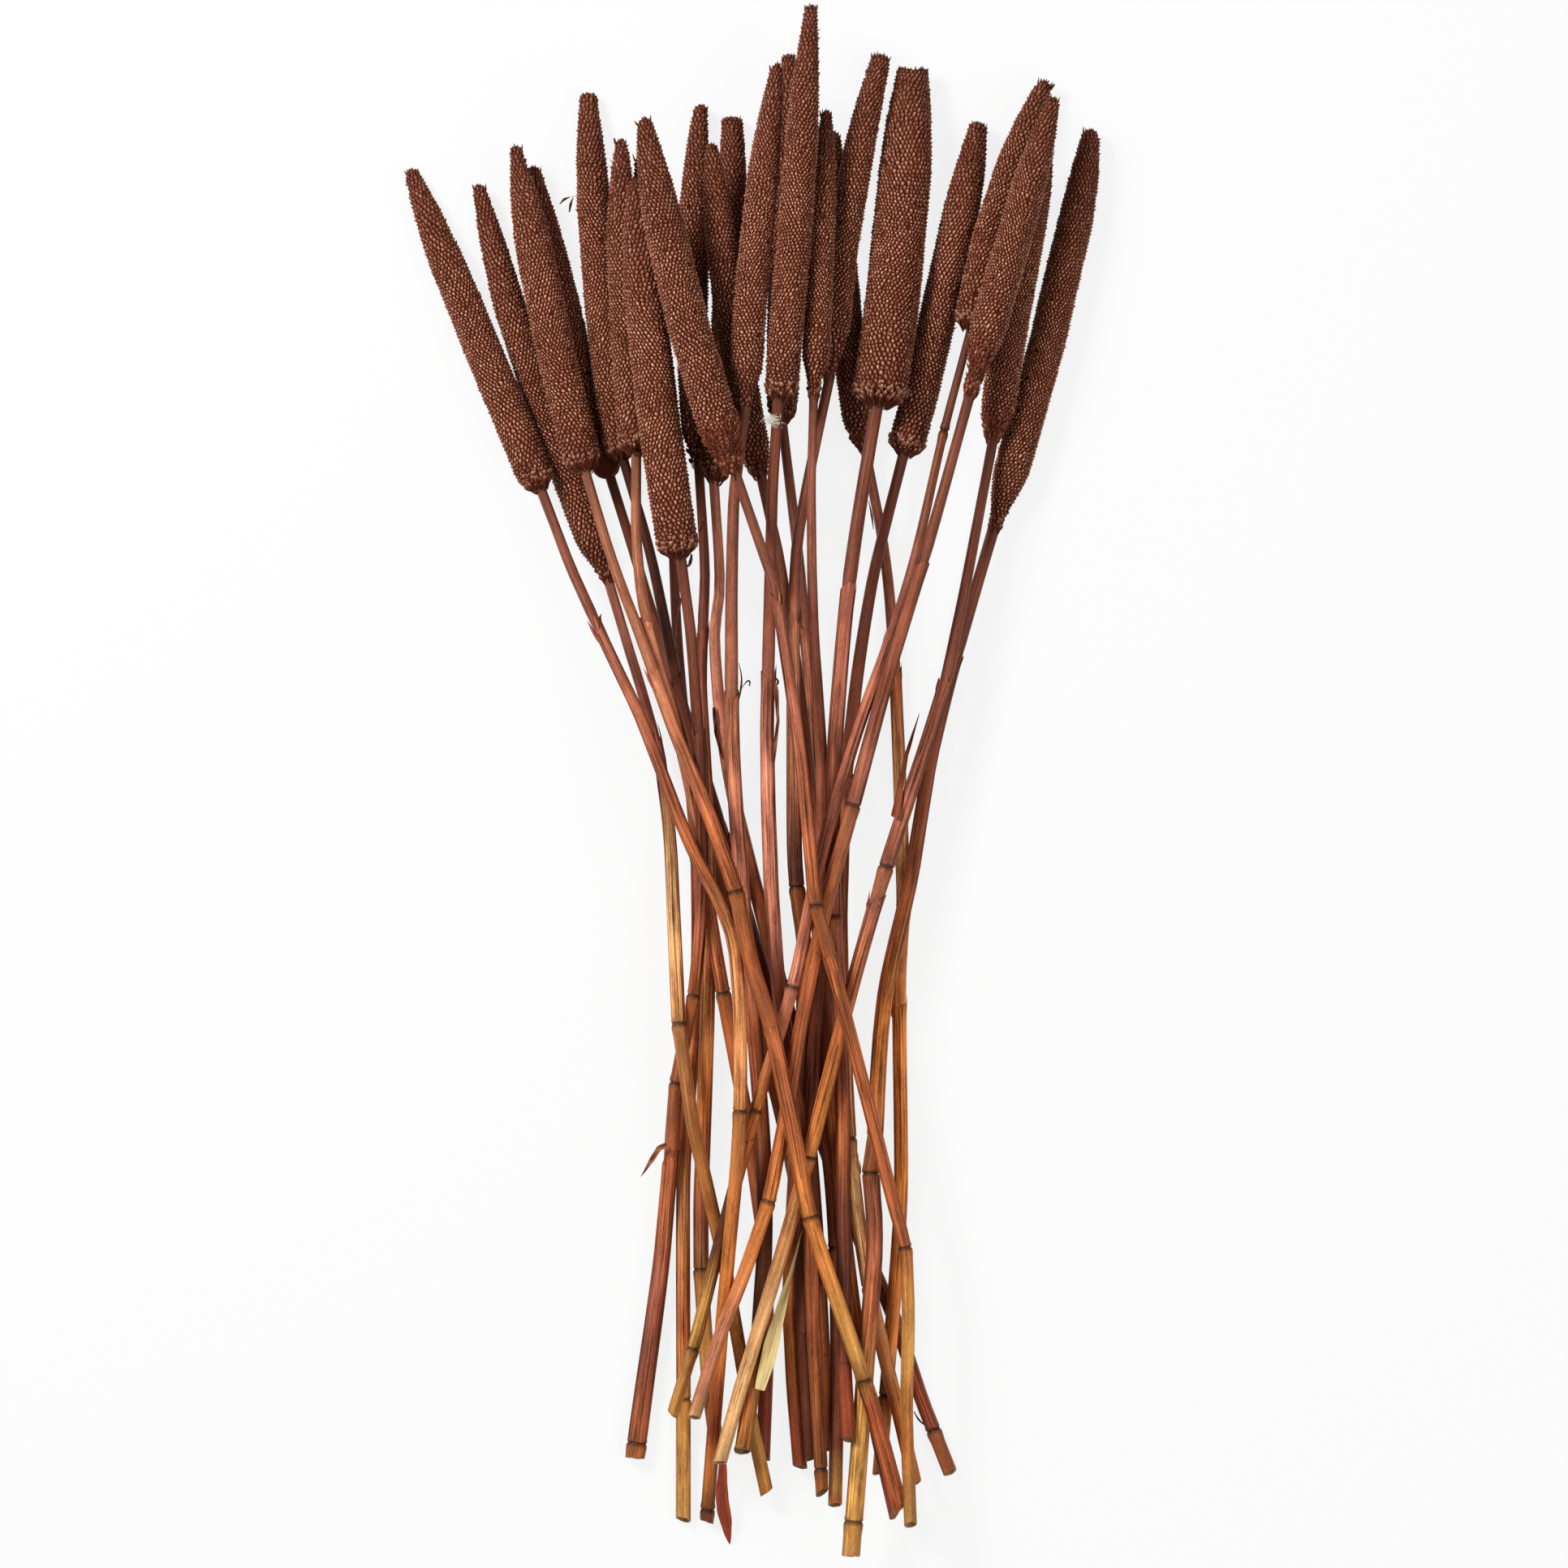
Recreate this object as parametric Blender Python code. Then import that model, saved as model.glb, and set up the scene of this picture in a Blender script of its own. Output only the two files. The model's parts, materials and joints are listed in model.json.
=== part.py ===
"""A loose bunch of dried pearl millet: twenty-four seed heads on cut, jointed stalks, lying on a table.

Each stem is a seed head and the stalk that carries it. The stems fan out towards the heads, cross at
the waist and spread again towards the cut ends, with nothing tied round them. +Y points to the heads,
+Z is up, and the origin is at the middle of the bunch's footprint, on the table.

STEMS gives each stem's route as seen from above. The heights are then worked out: the stems are laid
one after another, and each sinks under its own weight until it rests on the table and on those below.
"""

import math
from typing import NamedTuple

import bpy
import numpy as np

MM = 0.001
GAP = 0.45  # clear space between any two pieces; lengths are in millimetres until a curve is made
NECK_GAP = 0.8  # between the middle of a head's base and the stalk under it
HEAD_SIDES = 10
STALK_SIDES = 8
HEAD_RINGS = (0.0, 0.06, 0.16, 0.3, 0.6, 0.86, 0.96, 1.0)  # share of the head's length, from its tip
FULL_FROM = 0.4  # a head reaches its full width this far down from its tip
TIP_SLIMNESS = 0.8  # under 1, a head fills out soon below its tip; over 1, it stays slim for longer
HEEL_WIDTH = 0.9  # share of the full width just above the base
BASE_WIDTH = 0.6  # share of the full width at the base, where the head closes on its stalk
WRAPPED = (0.0, 0.12, 0.42, 1.0)  # shares of a stalk's length: bare to the second, wrapped from the third
LONGEST_RUN = 48.0  # between two points of a stalk's tube
SAMPLE_STEP = 2.0  # along a stem, where it is tested against the pieces below
STALK_STIFFNESS = 5e6  # against bending, beside a weight of 1 for each millimetre of stalk
HEAD_STIFFNESS = 1e8
HEAD_WEIGHT = 5.0  # of each millimetre of head, against 1 for a stalk
CONTACT = (1e1, 1e3, 1e5)  # how hard what lies below pushes back, in steps
LEAST_STIFFNESS = 1e-4  # keeps a stem that touches nothing yet from moving without end
LEAST_MOVE = 1e-4
MOST_STEPS = 60


class Stem(NamedTuple):
    number: int  # counted across the fan, from the left
    head: tuple  # (x, y) of the head's tip, middle and base
    wide: float  # the head's full width
    tip: float  # its width at the tip
    stalk: tuple  # (x, y) down the stalk, from below the head's base to the cut end
    thick: tuple  # the stalk's diameter under the head, where leaf sheaths wrap it, and at the cut end


# From the bottom of the pile to the top.
STEMS = (
    Stem(4, ((-104, 629), (-88, 557), (-69, 487)), 15.5, 6,
         ((-60, 460), (-51, 429), (-33, 374), (-13, 308), (7, 241), (26, 190), (44, 142),
          (59, 109), (75, 61), (86, 37)), (5.0, 6.8, 6.4)),
    Stem(8, ((-55, 635), (-50, 557), (-41, 469)), 15.5, 6,
         ((-40, 440), (-37, 392), (-30, 319), (-30, 249), (-33, 212), (-36, 175),
          (-36, 70), (-36, 15)), (4.8, 6.2, 6.8)),
    Stem(5, ((-79, 662), (-74, 580), (-63, 496)), 17, 8,
         ((-51, 455), (-39, 396), (-29, 352), (-17, 293), (-4, 245), (9, 197), (18, 153),
          (22, 54)), (5.0, 6.4, 6.4)),
    Stem(10, ((-28, 657), (-32, 576), (-29, 494)), 15, 6.5,
         ((-26, 447), (-28, 396), (-25, 337), (-25, 249), (-28, 161), (-28, 129), (-24, 72),
          (-20, 43)), (4.8, 6.8, 6.6)),
    Stem(12, ((-14, 651), (-15, 569), (-22, 485)), 15.5, 10,
         ((-19, 440), (-22, 416), (-17, 363), (-6, 313), (7, 263), (17, 227), (24, 153),
          (30, 47)), (5.0, 6.8, 6.4)),
    Stem(17, ((32, 645), (37, 565), (47, 499)), 16, 7,
         ((55, 458), (60, 403), (64, 293), (62, 263), (63, 164), (61, 131), (56, 72),
          (53, 37)), (5.0, 6.4, 6.4)),
    Stem(14, ((12, 680), (10, 598), (9, 513)), 15.5, 6,
         ((17, 447), (19, 421), (24, 355), (26, 245), (26, 216), (32, 161), (34, 98),
          (33, 22)), (5.0, 6.8, 6.4)),
    Stem(11, ((-23, 638), (-15, 565), (-1, 487)), 15.5, 6,
         ((6, 460), (13, 418), (21, 352), (29, 234), (37, 146), (45, 87), (53, 50),
          (60, 20)), (5.2, 6.8, 6.2)),
    Stem(18, ((54, 679), (38, 605), (30, 531)), 15.5, 9,
         ((16, 462), (14, 429), (14, 359), (15, 303), (19, 278), (17, 205), (12, 116),
          (17, 39)), (5.0, 6.8, 6.4)),
    Stem(6, ((-64, 641), (-62, 569), (-57, 498)), 16, 5.5,
         ((-57, 455), (-53, 425), (-39, 377), (-31, 341), (-26, 304), (-18, 255),
          (-6, 190), (0, 146), (2, 98), (0, 43)), (5.0, 6.4, 6.4)),
    Stem(16, ((29, 653), (26, 587), (23, 521)), 13.5, 5,
         ((22, 484), (23, 418), (27, 355), (26, 282), (20, 172), (17, 124), (22, 43)),
         (4.4, 6.0, 6.0)),
    Stem(7, ((-57, 621), (-50, 539), (-37, 451)), 19.5, 7,
         ((-33, 425), (-29, 374), (-27, 308), (-31, 254), (-39, 214), (-42, 175),
          (-46, 131), (-53, 80), (-58, 43)), (5.5, 5.6, 9.2)),
    Stem(20, ((98, 649), (84, 580), (64, 498)), 18, 8,
         ((51, 447), (43, 399), (38, 355), (35, 289), (37, 227), (39, 189), (48, 122),
          (62, 63), (69, 32)), (5.4, 6.8, 6.2)),
    Stem(2, ((-129, 621), (-104, 532), (-69, 440)), 16, 6,
         ((-64, 421), (-55, 392), (-47, 363), (-42, 326), (-40, 282), (-38, 241),
          (-32, 197), (-17, 131), (-4, 54), (2, 28)), (5.0, 6.4, 6.4)),
    Stem(13, ((7, 674), (-3, 594), (-8, 516)), 15.5, 6,
         ((-13, 477), (-14, 392), (-12, 337), (-6, 263), (0, 190), (1, 139), (-2, 94),
          (-9, 47)), (5.4, 7.0, 7.6)),
    Stem(24, ((149, 646), (134, 569), (104, 462)), 17.5, 7.5,
         ((89, 411), (76, 359), (67, 304), (55, 252), (51, 190), (49, 173), (51, 146),
          (46, 80), (40, 0)), (6.0, 7.2, 8.6)),
    Stem(19, ((68, 674), (62, 598), (52, 520)), 25, 14,
         ((48, 499), (39, 440), (34, 385), (32, 355), (32, 290), (36, 219), (37, 87),
          (39, 53)), (6.4, 7.2, 6.6)),
    Stem(15, ((22, 700), (15, 605), (8, 521)), 16, 6,
         ((5, 495), (3, 418), (2, 374), (4, 300), (9, 241), (19, 183), (23, 102),
          (27, 28)), (5.5, 7.0, 5.8)),
    Stem(21, ((129, 668), (106, 609), (94, 554)), 16, 7.5,
         ((82, 509), (69, 451), (59, 418), (44, 377), (33, 341), (24, 308), (14, 258),
          (-3, 202), (-22, 131), (-31, 94), (-41, 64)), (4.2, 6.0, 5.8)),
    Stem(1, ((-160, 628), (-131, 556), (-100, 482)), 17.5, 6.5,
         ((-88, 450), (-75, 421), (-55, 379), (-33, 322), (-20, 297), (-12, 276),
          (-10, 241), (-10, 202), (-12, 172), (-18, 109), (-25, 20), (-26, 14)), (5.0, 6.4, 6.4)),
    Stem(22, ((129, 637), (116, 576), (104, 503)), 16.5, 6,
         ((90, 429), (83, 396), (64, 337), (56, 312), (40, 256), (21, 181), (6, 128),
          (-12, 69), (-19, 42)), (5.0, 6.8, 6.4)),
    Stem(23, ((132, 659), (113, 594), (93, 523)), 17, 5.5,
         ((75, 458), (58, 403), (41, 340), (29, 297), (17, 238), (3, 161), (-20, 98),
          (-31, 63)), (5.4, 6.8, 6.2)),
    Stem(3, ((-112, 638), (-98, 565), (-80, 490)), 18, 4.5,
         ((-67, 447), (-55, 416), (-40, 374), (-26, 341), (-12, 301), (-6, 271),
          (4, 240), (13, 197), (21, 154), (46, 80), (62, 22)), (5.0, 7.2, 6.8)),
    Stem(9, ((-53, 648), (-37, 569), (-12, 488)), 19.5, 6.5,
         ((6, 436), (10, 410), (18, 355), (24, 295), (30, 273), (46, 212), (60, 157),
          (65, 138), (66, 109), (65, 65), (67, 15)), (5.2, 6.4, 5.8)),
)


class Blade(NamedTuple):
    name: str
    route: tuple  # (x, y) from where it leaves the sheath to its tip
    width: tuple  # its rolled width at the two ends of the route
    finish: str


# Dry leaf blades and torn sheath strips that lie loose on the stalks.
BLADES = (
    Blade("leaf_blade_cream", ((13, 129), (6, 103), (-1, 76)), (1.4, 3.6), "dry leaf, cream"),
    Blade("leaf_blade_rust", ((-18, 46), (-18.5, 25), (-15.5, 7)), (4.0, 1.0), "dry leaf, rust"),
    Blade("leaf_tip_right", ((61, 341), (65, 362), (71, 381)), (2.4, 0.8), "dry leaf, rust"),
    Blade("sheath_strip_middle", ((6, 395), (7, 378), (5, 359)), (2.4, 1.4), "dry leaf, dark"),
    Blade("sheath_strip_left", ((-22, 384), (-21, 372), (-18, 360)), (2.2, 1.2), "dry leaf, dark"),
    Blade("sheath_curl_left", ((-43, 186), (-47, 184), (-52, 176)), (2.4, 1.0), "dry leaf, dark"),
)

FINISHES = {  # base colour and roughness
    "millet grain": ((0.165, 0.072, 0.045), 0.62),
    "dry straw": ((0.33, 0.14, 0.05), 0.48),
    "dry leaf, cream": ((0.62, 0.46, 0.2), 0.55),
    "dry leaf, rust": ((0.27, 0.08, 0.03), 0.55),
    "dry leaf, dark": ((0.11, 0.045, 0.03), 0.6),
}


def through(points, shares):
    """Points on the curve through three points, at shares of its length."""
    start, middle, end = (np.array(p, float) for p in points)
    control = 2 * middle - (start + end) / 2
    t = np.array(shares)[:, None]
    return (1 - t) ** 2 * start + 2 * t * (1 - t) * control + t**2 * end


def smooth_run(points):
    """The points of a Catmull-Rom curve through these: each of them, and more where two are far apart."""
    p = [np.array(q, float) for q in points]
    p = [2 * p[0] - p[1], *p, 2 * p[-1] - p[-2]]
    run = [p[1]]
    for a, b, c, d in zip(p, p[1:], p[2:], p[3:]):
        steps = math.ceil(math.dist(b, c) / LONGEST_RUN)
        for t in np.arange(1, steps + 1) / steps:
            run.append(0.5 * (2 * b + (c - a) * t + (2 * a - 5 * b + 4 * c - d) * t**2
                              + (3 * b - a - 3 * c + d) * t**3))
    return np.array(run)


def along(run):
    """The distance of each point from the first."""
    return np.append(0, np.cumsum(np.linalg.norm(np.diff(run, axis=0), axis=1)))


def head_radii(wide, tip):
    """A head is slim at its tip, full from its middle on, and closes at its base."""
    radii = []
    for share in HEAD_RINGS:
        growth = math.sin(math.pi / 2 * min(share / FULL_FROM, 1)) ** TIP_SLIMNESS
        radii.append((tip + (wide - tip) * growth) / 2)
    radii[-2] = wide / 2 * HEEL_WIDTH
    radii[-1] = wide / 2 * BASE_WIDTH
    return np.array(radii)


def stalk_radii(run, thick):
    """Slim under the head, and thicker from where the leaf sheaths wrap it."""
    share = along(run) / along(run)[-1]
    return np.interp(share, WRAPPED, (thick[0], *thick)) / 2


def sampling(run):
    """A matrix that turns values at the run's points into values every SAMPLE_STEP along it."""
    places = along(run)
    count = math.ceil(places[-1] / SAMPLE_STEP) + 1
    wanted = np.linspace(0, places[-1], count)
    return np.array([np.interp(wanted, places, unit) for unit in np.eye(len(run))]).T


def bending(run, stiffness):
    """The matrix of a stem's bending energy, from the change of slope at each inner point."""
    step = np.diff(along(run))
    energy = np.zeros((len(run), len(run)))
    for i in range(1, len(run) - 1):
        before, after = step[i - 1], step[i]
        turn = np.zeros(len(run))
        turn[i - 1 : i + 2] = 1 / before, -1 / before - 1 / after, 1 / after
        energy += stiffness[i] * np.outer(turn, turn) * 2 / (before + after)
    return energy


def floor_under(places, radii, pile):
    """How high the middle of each sample must lie to clear the table and the samples in the pile."""
    lowest = radii.copy()
    if len(pile):
        apart = np.linalg.norm(places[:, None] - pile[None, :, :2], axis=2)
        reach = radii[:, None] + pile[None, :, 3] + GAP
        touching = apart < reach
        rise = np.sqrt(np.where(touching, reach**2 - apart**2, 0))
        lowest = np.maximum(lowest, np.where(touching, pile[None, :, 2] + rise, 0).max(axis=1))
    return lowest


def rest_heights(bend, lowest, spread, pull):
    """The heights of least energy, bending and weight together, that keep every sample off what is below."""

    def energy(heights, push):
        sunk = np.maximum(lowest - spread @ heights, 0)
        return heights @ bend @ heights / 2 + pull @ heights + push * sunk @ sunk / 2

    heights = np.full(len(bend), lowest.max())
    for push in CONTACT:
        for _ in range(MOST_STEPS):
            pressed = lowest > spread @ heights
            held = push * spread[pressed].T
            rigid = bend + held @ spread[pressed] + LEAST_STIFFNESS * np.eye(len(bend))
            pushed_back = held @ lowest[pressed] + LEAST_STIFFNESS * heights
            move = np.linalg.solve(rigid, pushed_back - pull) - heights
            share = 1.0
            while share > LEAST_MOVE and energy(heights + share * move, push) > energy(heights, push):
                share /= 2
            heights = heights + share * move
            if np.abs(share * move).max() < LEAST_MOVE:
                break
    return heights + max((lowest - spread @ heights).max(), 0)


def lay(run, radii, heads, pile):
    """The heights at which a stem comes to rest on the pile, and the pile with its samples added.

    The first `heads` points of the run are the head's, which is heavier and stiffer than the stalk.
    """
    in_head = np.arange(len(run)) < heads
    spread = sampling(run)
    places, sample_radii = spread @ run, spread @ radii
    lowest = floor_under(places, sample_radii, pile)
    bend = bending(run, np.where(in_head, HEAD_STIFFNESS, STALK_STIFFNESS))
    pull = spread.T @ (spread @ np.where(in_head, HEAD_WEIGHT, 1)) * SAMPLE_STEP
    heights = rest_heights(bend, lowest, spread, pull)
    samples = np.column_stack([places, spread @ heights, sample_radii])
    return heights, np.vstack([pile, samples])


def finishes():
    made = {}
    for name, (colour, roughness) in FINISHES.items():
        made[name] = bpy.data.materials.new(name)
        made[name].use_nodes = True
        shader = made[name].node_tree.nodes["Principled BSDF"]
        shader.inputs["Base Color"].default_value = (*colour, 1)
        shader.inputs["Roughness"].default_value = roughness
        shader.inputs["Metallic"].default_value = 0
        made[name].diffuse_color = (*colour, 1)
    return made


def tube(name, points, radii, sides, finish, bunch, collection):
    """A closed round tube through the points, given in millimetres, with a radius at each."""
    data = bpy.data.curves.new(name, "CURVE")
    data.dimensions = "3D"
    data.twist_mode = "Z_UP"
    data.bevel_depth = MM  # so that a point's radius is in millimetres
    data.bevel_resolution = sides // 2 - 2
    data.use_fill_caps = True
    data.materials.append(finish)
    spline = data.splines.new("POLY")
    spline.points.add(len(points) - 1)
    for point, place, radius in zip(spline.points, points, radii):
        point.co = (*(place * MM), 1)
        point.radius = radius
    made = bpy.data.objects.new(name, data)
    made.parent = bunch
    collection.objects.link(made)
    return made


def build_stems(make, pile):
    """Lays each stem, head and stalk as one, and makes their two tubes with a gap at the neck."""
    for stem in STEMS:
        head = through(stem.head, HEAD_RINGS)
        stalk = smooth_run((stem.head[-1], *stem.stalk))
        neck = stalk[1] - stalk[0]
        stalk[0] += neck * NECK_GAP / np.linalg.norm(neck)
        run = np.vstack([head, stalk])
        radii = np.append(head_radii(stem.wide, stem.tip), stalk_radii(stalk, stem.thick))
        heights, pile = lay(run, radii, len(head), pile)
        points = np.column_stack([run, heights])
        make(f"seed_head_{stem.number:02d}", points[: len(head)], radii[: len(head)],
             HEAD_SIDES, "millet grain")
        make(f"stalk_{stem.number:02d}", points[len(head) :], radii[len(head) :],
             STALK_SIDES, "dry straw")
    return pile


def build_blades(make, pile):
    for blade in BLADES:
        run = smooth_run(blade.route)
        radii = np.linspace(blade.width[0], blade.width[1], len(run)) / 2
        heights, pile = lay(run, radii, 0, pile)
        make(blade.name, np.column_stack([run, heights]), radii, STALK_SIDES, blade.finish)


def centre(bunch, made):
    """Moves the bunch so that the origin is at the middle of its footprint, with its underside at zero."""
    bpy.context.view_layer.update()
    corners = np.array([tuple(corner) for piece in made for corner in piece.bound_box])
    low, high = corners.min(axis=0), corners.max(axis=0)
    bunch.location = (-(low[0] + high[0]) / 2, -(low[1] + high[1]) / 2, -low[2])


def main():
    for old in list(bpy.data.objects):
        bpy.data.objects.remove(old)
    collection = bpy.data.collections.new("dried_millet_bunch")
    bpy.context.scene.collection.children.link(collection)
    bunch = bpy.data.objects.new("bunch", None)
    collection.objects.link(bunch)
    finish = finishes()
    made = []

    def make(name, points, radii, sides, finish_name):
        made.append(tube(name, points, radii, sides, finish[finish_name], bunch, collection))

    pile = build_stems(make, np.empty((0, 4)))
    build_blades(make, pile)
    centre(bunch, made)


main()
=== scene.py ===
# %% [markdown]
# # A bunch of dried pearl millet
#
# Twenty-four rust-brown seed heads lie on a table, each on the cut, jointed stalk that it grew on. The
# heads fan out at the far end, the stalks cross at the waist, and nothing ties them.
#
# A frame of plain tubes already says where every head and stalk lies. This script replaces each tube with
# the real thing: heads set with thousands of separate seeds, and straw wrapped in split leaf sheaths.
# Heads, straw and leaves are made straight, where they are easy to shape, and then bent along the middle
# of their tubes.

import json
import math
from contextlib import contextmanager
from typing import NamedTuple

import bmesh
import bpy
import numpy as np
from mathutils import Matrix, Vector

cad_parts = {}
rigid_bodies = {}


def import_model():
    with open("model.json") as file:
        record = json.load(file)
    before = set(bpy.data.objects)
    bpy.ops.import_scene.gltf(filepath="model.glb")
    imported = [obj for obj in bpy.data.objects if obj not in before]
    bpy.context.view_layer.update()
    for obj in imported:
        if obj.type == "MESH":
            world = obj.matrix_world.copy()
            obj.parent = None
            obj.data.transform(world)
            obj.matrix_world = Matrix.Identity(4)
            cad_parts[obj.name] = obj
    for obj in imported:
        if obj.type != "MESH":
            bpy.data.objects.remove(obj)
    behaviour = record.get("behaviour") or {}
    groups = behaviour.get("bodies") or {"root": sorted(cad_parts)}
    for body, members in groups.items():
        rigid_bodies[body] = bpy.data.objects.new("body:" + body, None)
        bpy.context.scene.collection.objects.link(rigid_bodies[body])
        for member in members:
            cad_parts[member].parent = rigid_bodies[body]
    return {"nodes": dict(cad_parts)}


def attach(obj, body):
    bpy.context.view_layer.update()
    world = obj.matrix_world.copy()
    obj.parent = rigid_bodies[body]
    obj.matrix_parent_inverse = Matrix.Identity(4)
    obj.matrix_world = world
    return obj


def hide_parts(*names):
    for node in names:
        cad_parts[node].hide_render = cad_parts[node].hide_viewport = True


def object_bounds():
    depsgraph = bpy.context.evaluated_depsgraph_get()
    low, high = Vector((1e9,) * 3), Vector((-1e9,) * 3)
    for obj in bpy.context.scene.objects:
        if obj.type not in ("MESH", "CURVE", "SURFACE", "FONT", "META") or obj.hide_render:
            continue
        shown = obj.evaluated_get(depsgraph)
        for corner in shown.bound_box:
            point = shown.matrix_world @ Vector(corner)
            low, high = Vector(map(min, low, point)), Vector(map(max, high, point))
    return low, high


for thing in list(bpy.data.objects):
    bpy.data.objects.remove(thing)
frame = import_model()
cad_low, cad_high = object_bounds()
MM = 0.001
TURN = 2 * math.pi
print("the frame measures", [round(side / MM) for side in cad_high - cad_low], "mm")

# %% [markdown]
# ## Where each piece lies
#
# Each tube is a mesh with no record of its middle line. Slicing it gives that back: a plane across the
# tube meets its triangles in a ring of short lines, whose middle is a point of the line and whose length
# round gives the radius. It works on any tube, however its surface is divided.

# %% Slice a tube into its middle line
CUTS = 26  # planes across each tube
POLYGON_ROUND = 0.98  # the length round a tube of eight or ten sides, beside its circle's


def numbers(items, name, width, kind=np.float32):
    """One property of every item, as an array with a row for each."""
    found = np.empty(len(items) * width, kind)
    items.foreach_get(name, found)
    return found.reshape(-1, width)


def points_of(mesh):
    """Where its points are, a row for each."""
    return numbers(mesh.vertices, "co", 3).astype(float)


def even(values, low, high):
    """0 at or under low, 1 at or over high, and even between."""
    return np.clip((values - low) / (high - low), 0, 1)


class Route:
    """A tube's middle line, from its end nearest the seed heads down to the other, and its radius there."""

    def __init__(self, node):
        mesh = frame["nodes"][node].data
        mesh.calc_loop_triangles()
        places = points_of(mesh)
        corners = places[numbers(mesh.loop_triangles, "vertices", 3, np.int32)]
        middle = places.mean(axis=0)
        axis = np.linalg.svd(places - middle, full_matrices=False)[2][0]
        axis *= -np.sign(axis[1])
        height = (corners - middle) @ axis
        levels = np.linspace(height.min(), height.max(), CUTS + 2)[1:-1]
        rings = [self.ring(corners, height, level) for level in levels]
        line = np.array([centre for centre, _ in rings])
        way = np.gradient(line, axis=0)
        way /= np.linalg.norm(way, axis=1)[:, None]
        slant = way @ axis  # a cut across a slanting tube is an oval
        radii = np.array([around for _, around in rings]) / (math.pi * POLYGON_ROUND * (1 + 1 / slant))
        gaps = np.array([levels[0] - height.min(), height.max() - levels[-1]])
        first, last = (gaps - (radii * np.sqrt(1 - slant**2))[[0, -1]]) / slant[[0, -1]]
        self.points = np.vstack([line[0] - way[0] * first, line, line[-1] + way[-1] * last])
        self.radii = np.concatenate([radii[:1], radii, radii[-1:]])
        self.measure()

    @staticmethod
    def ring(corners, height, level):
        """The middle of the ring that a level cuts from the tube, and the length round it."""
        after = np.roll(height, -1, axis=1)
        crosses = (height > level) != (after > level)
        share = np.where(crosses, (level - height) / np.where(crosses, after - height, 1), 0)
        places = corners + share[:, :, None] * (np.roll(corners, -1, axis=1) - corners)
        lines = places[crosses].reshape(-1, 2, 3)
        lengths = np.linalg.norm(lines[:, 1] - lines[:, 0], axis=1)
        return (lines.mean(axis=1) * lengths[:, None]).sum(axis=0) / lengths.sum(), lengths.sum()

    def measure(self):
        """Works out how far down the line each point is."""
        steps = np.linalg.norm(np.diff(self.points, axis=0), axis=1)
        self.down = np.append(0, np.cumsum(steps))
        self.length = self.down[-1]

    def radius(self, down):
        return np.interp(down, self.down, self.radii)

    def down_at(self, y):
        """How far down the line it passes this far above the low end of the bunch, in metres."""
        return np.interp(-(y + cad_low[1]), -self.points[:, 1], self.down)

    def height_at(self, x, y):
        """The height of the line at its point nearest to a place in the plan."""
        nearest = np.argmin(np.hypot(self.points[:, 0] - x, self.points[:, 1] - y))
        return self.points[nearest, 2]


trial = Route("stalk_01")
print("stalk 1 is", round(trial.length / MM), "mm long and", round(2 * trial.radii[0] / MM, 1), "mm thick")

# %% [markdown]
# ## Making and bending pieces
#
# A Curve modifier carries a straight mesh along a curve: what lay on the Z axis ends on the curve. Bezier
# points with automatic handles pass through every point of the line and round off the corners between.

# %% Make, select, change, join and bend
NEAR = 0.01 * MM  # points closer than this are merged


def placed(name, data):
    """Puts a mesh, curve, lamp or camera into the scene."""
    thing = bpy.data.objects.new(name, data)
    bpy.context.scene.collection.objects.link(thing)
    return thing


def mesh_object(name, points, faces=(), edges=()):
    mesh = bpy.data.meshes.new(name)
    mesh.from_pydata(points, edges, faces)
    return placed(name, mesh)


def curve_object(points):
    """A smooth curve through the points."""
    line = bpy.data.curves.new("line", "CURVE")
    line.dimensions = "3D"
    spline = line.splines.new("BEZIER")
    spline.bezier_points.add(len(points) - 1)
    for knot, place in zip(spline.bezier_points, points):
        knot.co = place
        knot.handle_left_type = knot.handle_right_type = "AUTO"
    return placed("line", line)


def flat_grid(columns, rows, size):
    bpy.ops.mesh.primitive_grid_add(x_subdivisions=columns, y_subdivisions=rows, size=size)
    return bpy.context.object


def move_points(mesh, places):
    mesh.vertices.foreach_set("co", np.ravel(places))


def select_only(*things):
    """Selects these and nothing else; the first is active."""
    bpy.ops.object.select_all(action="DESELECT")
    for thing in things:
        thing.select_set(True)
    bpy.context.view_layer.objects.active = things[0]


def apply_modifier(piece, kind, **settings):
    modifier = piece.modifiers.new(kind, kind)
    for name, value in settings.items():
        setattr(modifier, name, value)
    select_only(piece)
    bpy.ops.object.modifier_apply(modifier=modifier.name)


@contextmanager
def editing(piece):
    """Edit Mode, with all of a piece selected."""
    select_only(piece)
    bpy.ops.object.mode_set(mode="EDIT")
    bpy.ops.mesh.select_all(action="SELECT")
    yield
    bpy.ops.object.mode_set(mode="OBJECT")


def face_outwards(piece, merging=False):
    """Turns every face outwards, after merging the points that lie together if that is asked for."""
    with editing(piece):
        if merging:
            bpy.ops.mesh.remove_doubles(threshold=NEAR)
        bpy.ops.mesh.normals_make_consistent(inside=False)


def joined(name, *pieces):
    select_only(*pieces)
    bpy.ops.object.join()
    pieces[0].name = pieces[0].data.name = name
    return pieces[0]


def bend_along(piece, route):
    """Bends a piece that runs up the Z axis so that it follows the route from its top end down."""
    guide = curve_object(route.points)
    guide.data.twist_mode = "Z_UP"  # a straight piece's +Y side ends on top
    apply_modifier(piece, "CURVE", object=guide, deform_axis="POS_Z")
    bpy.data.objects.remove(guide)


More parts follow.
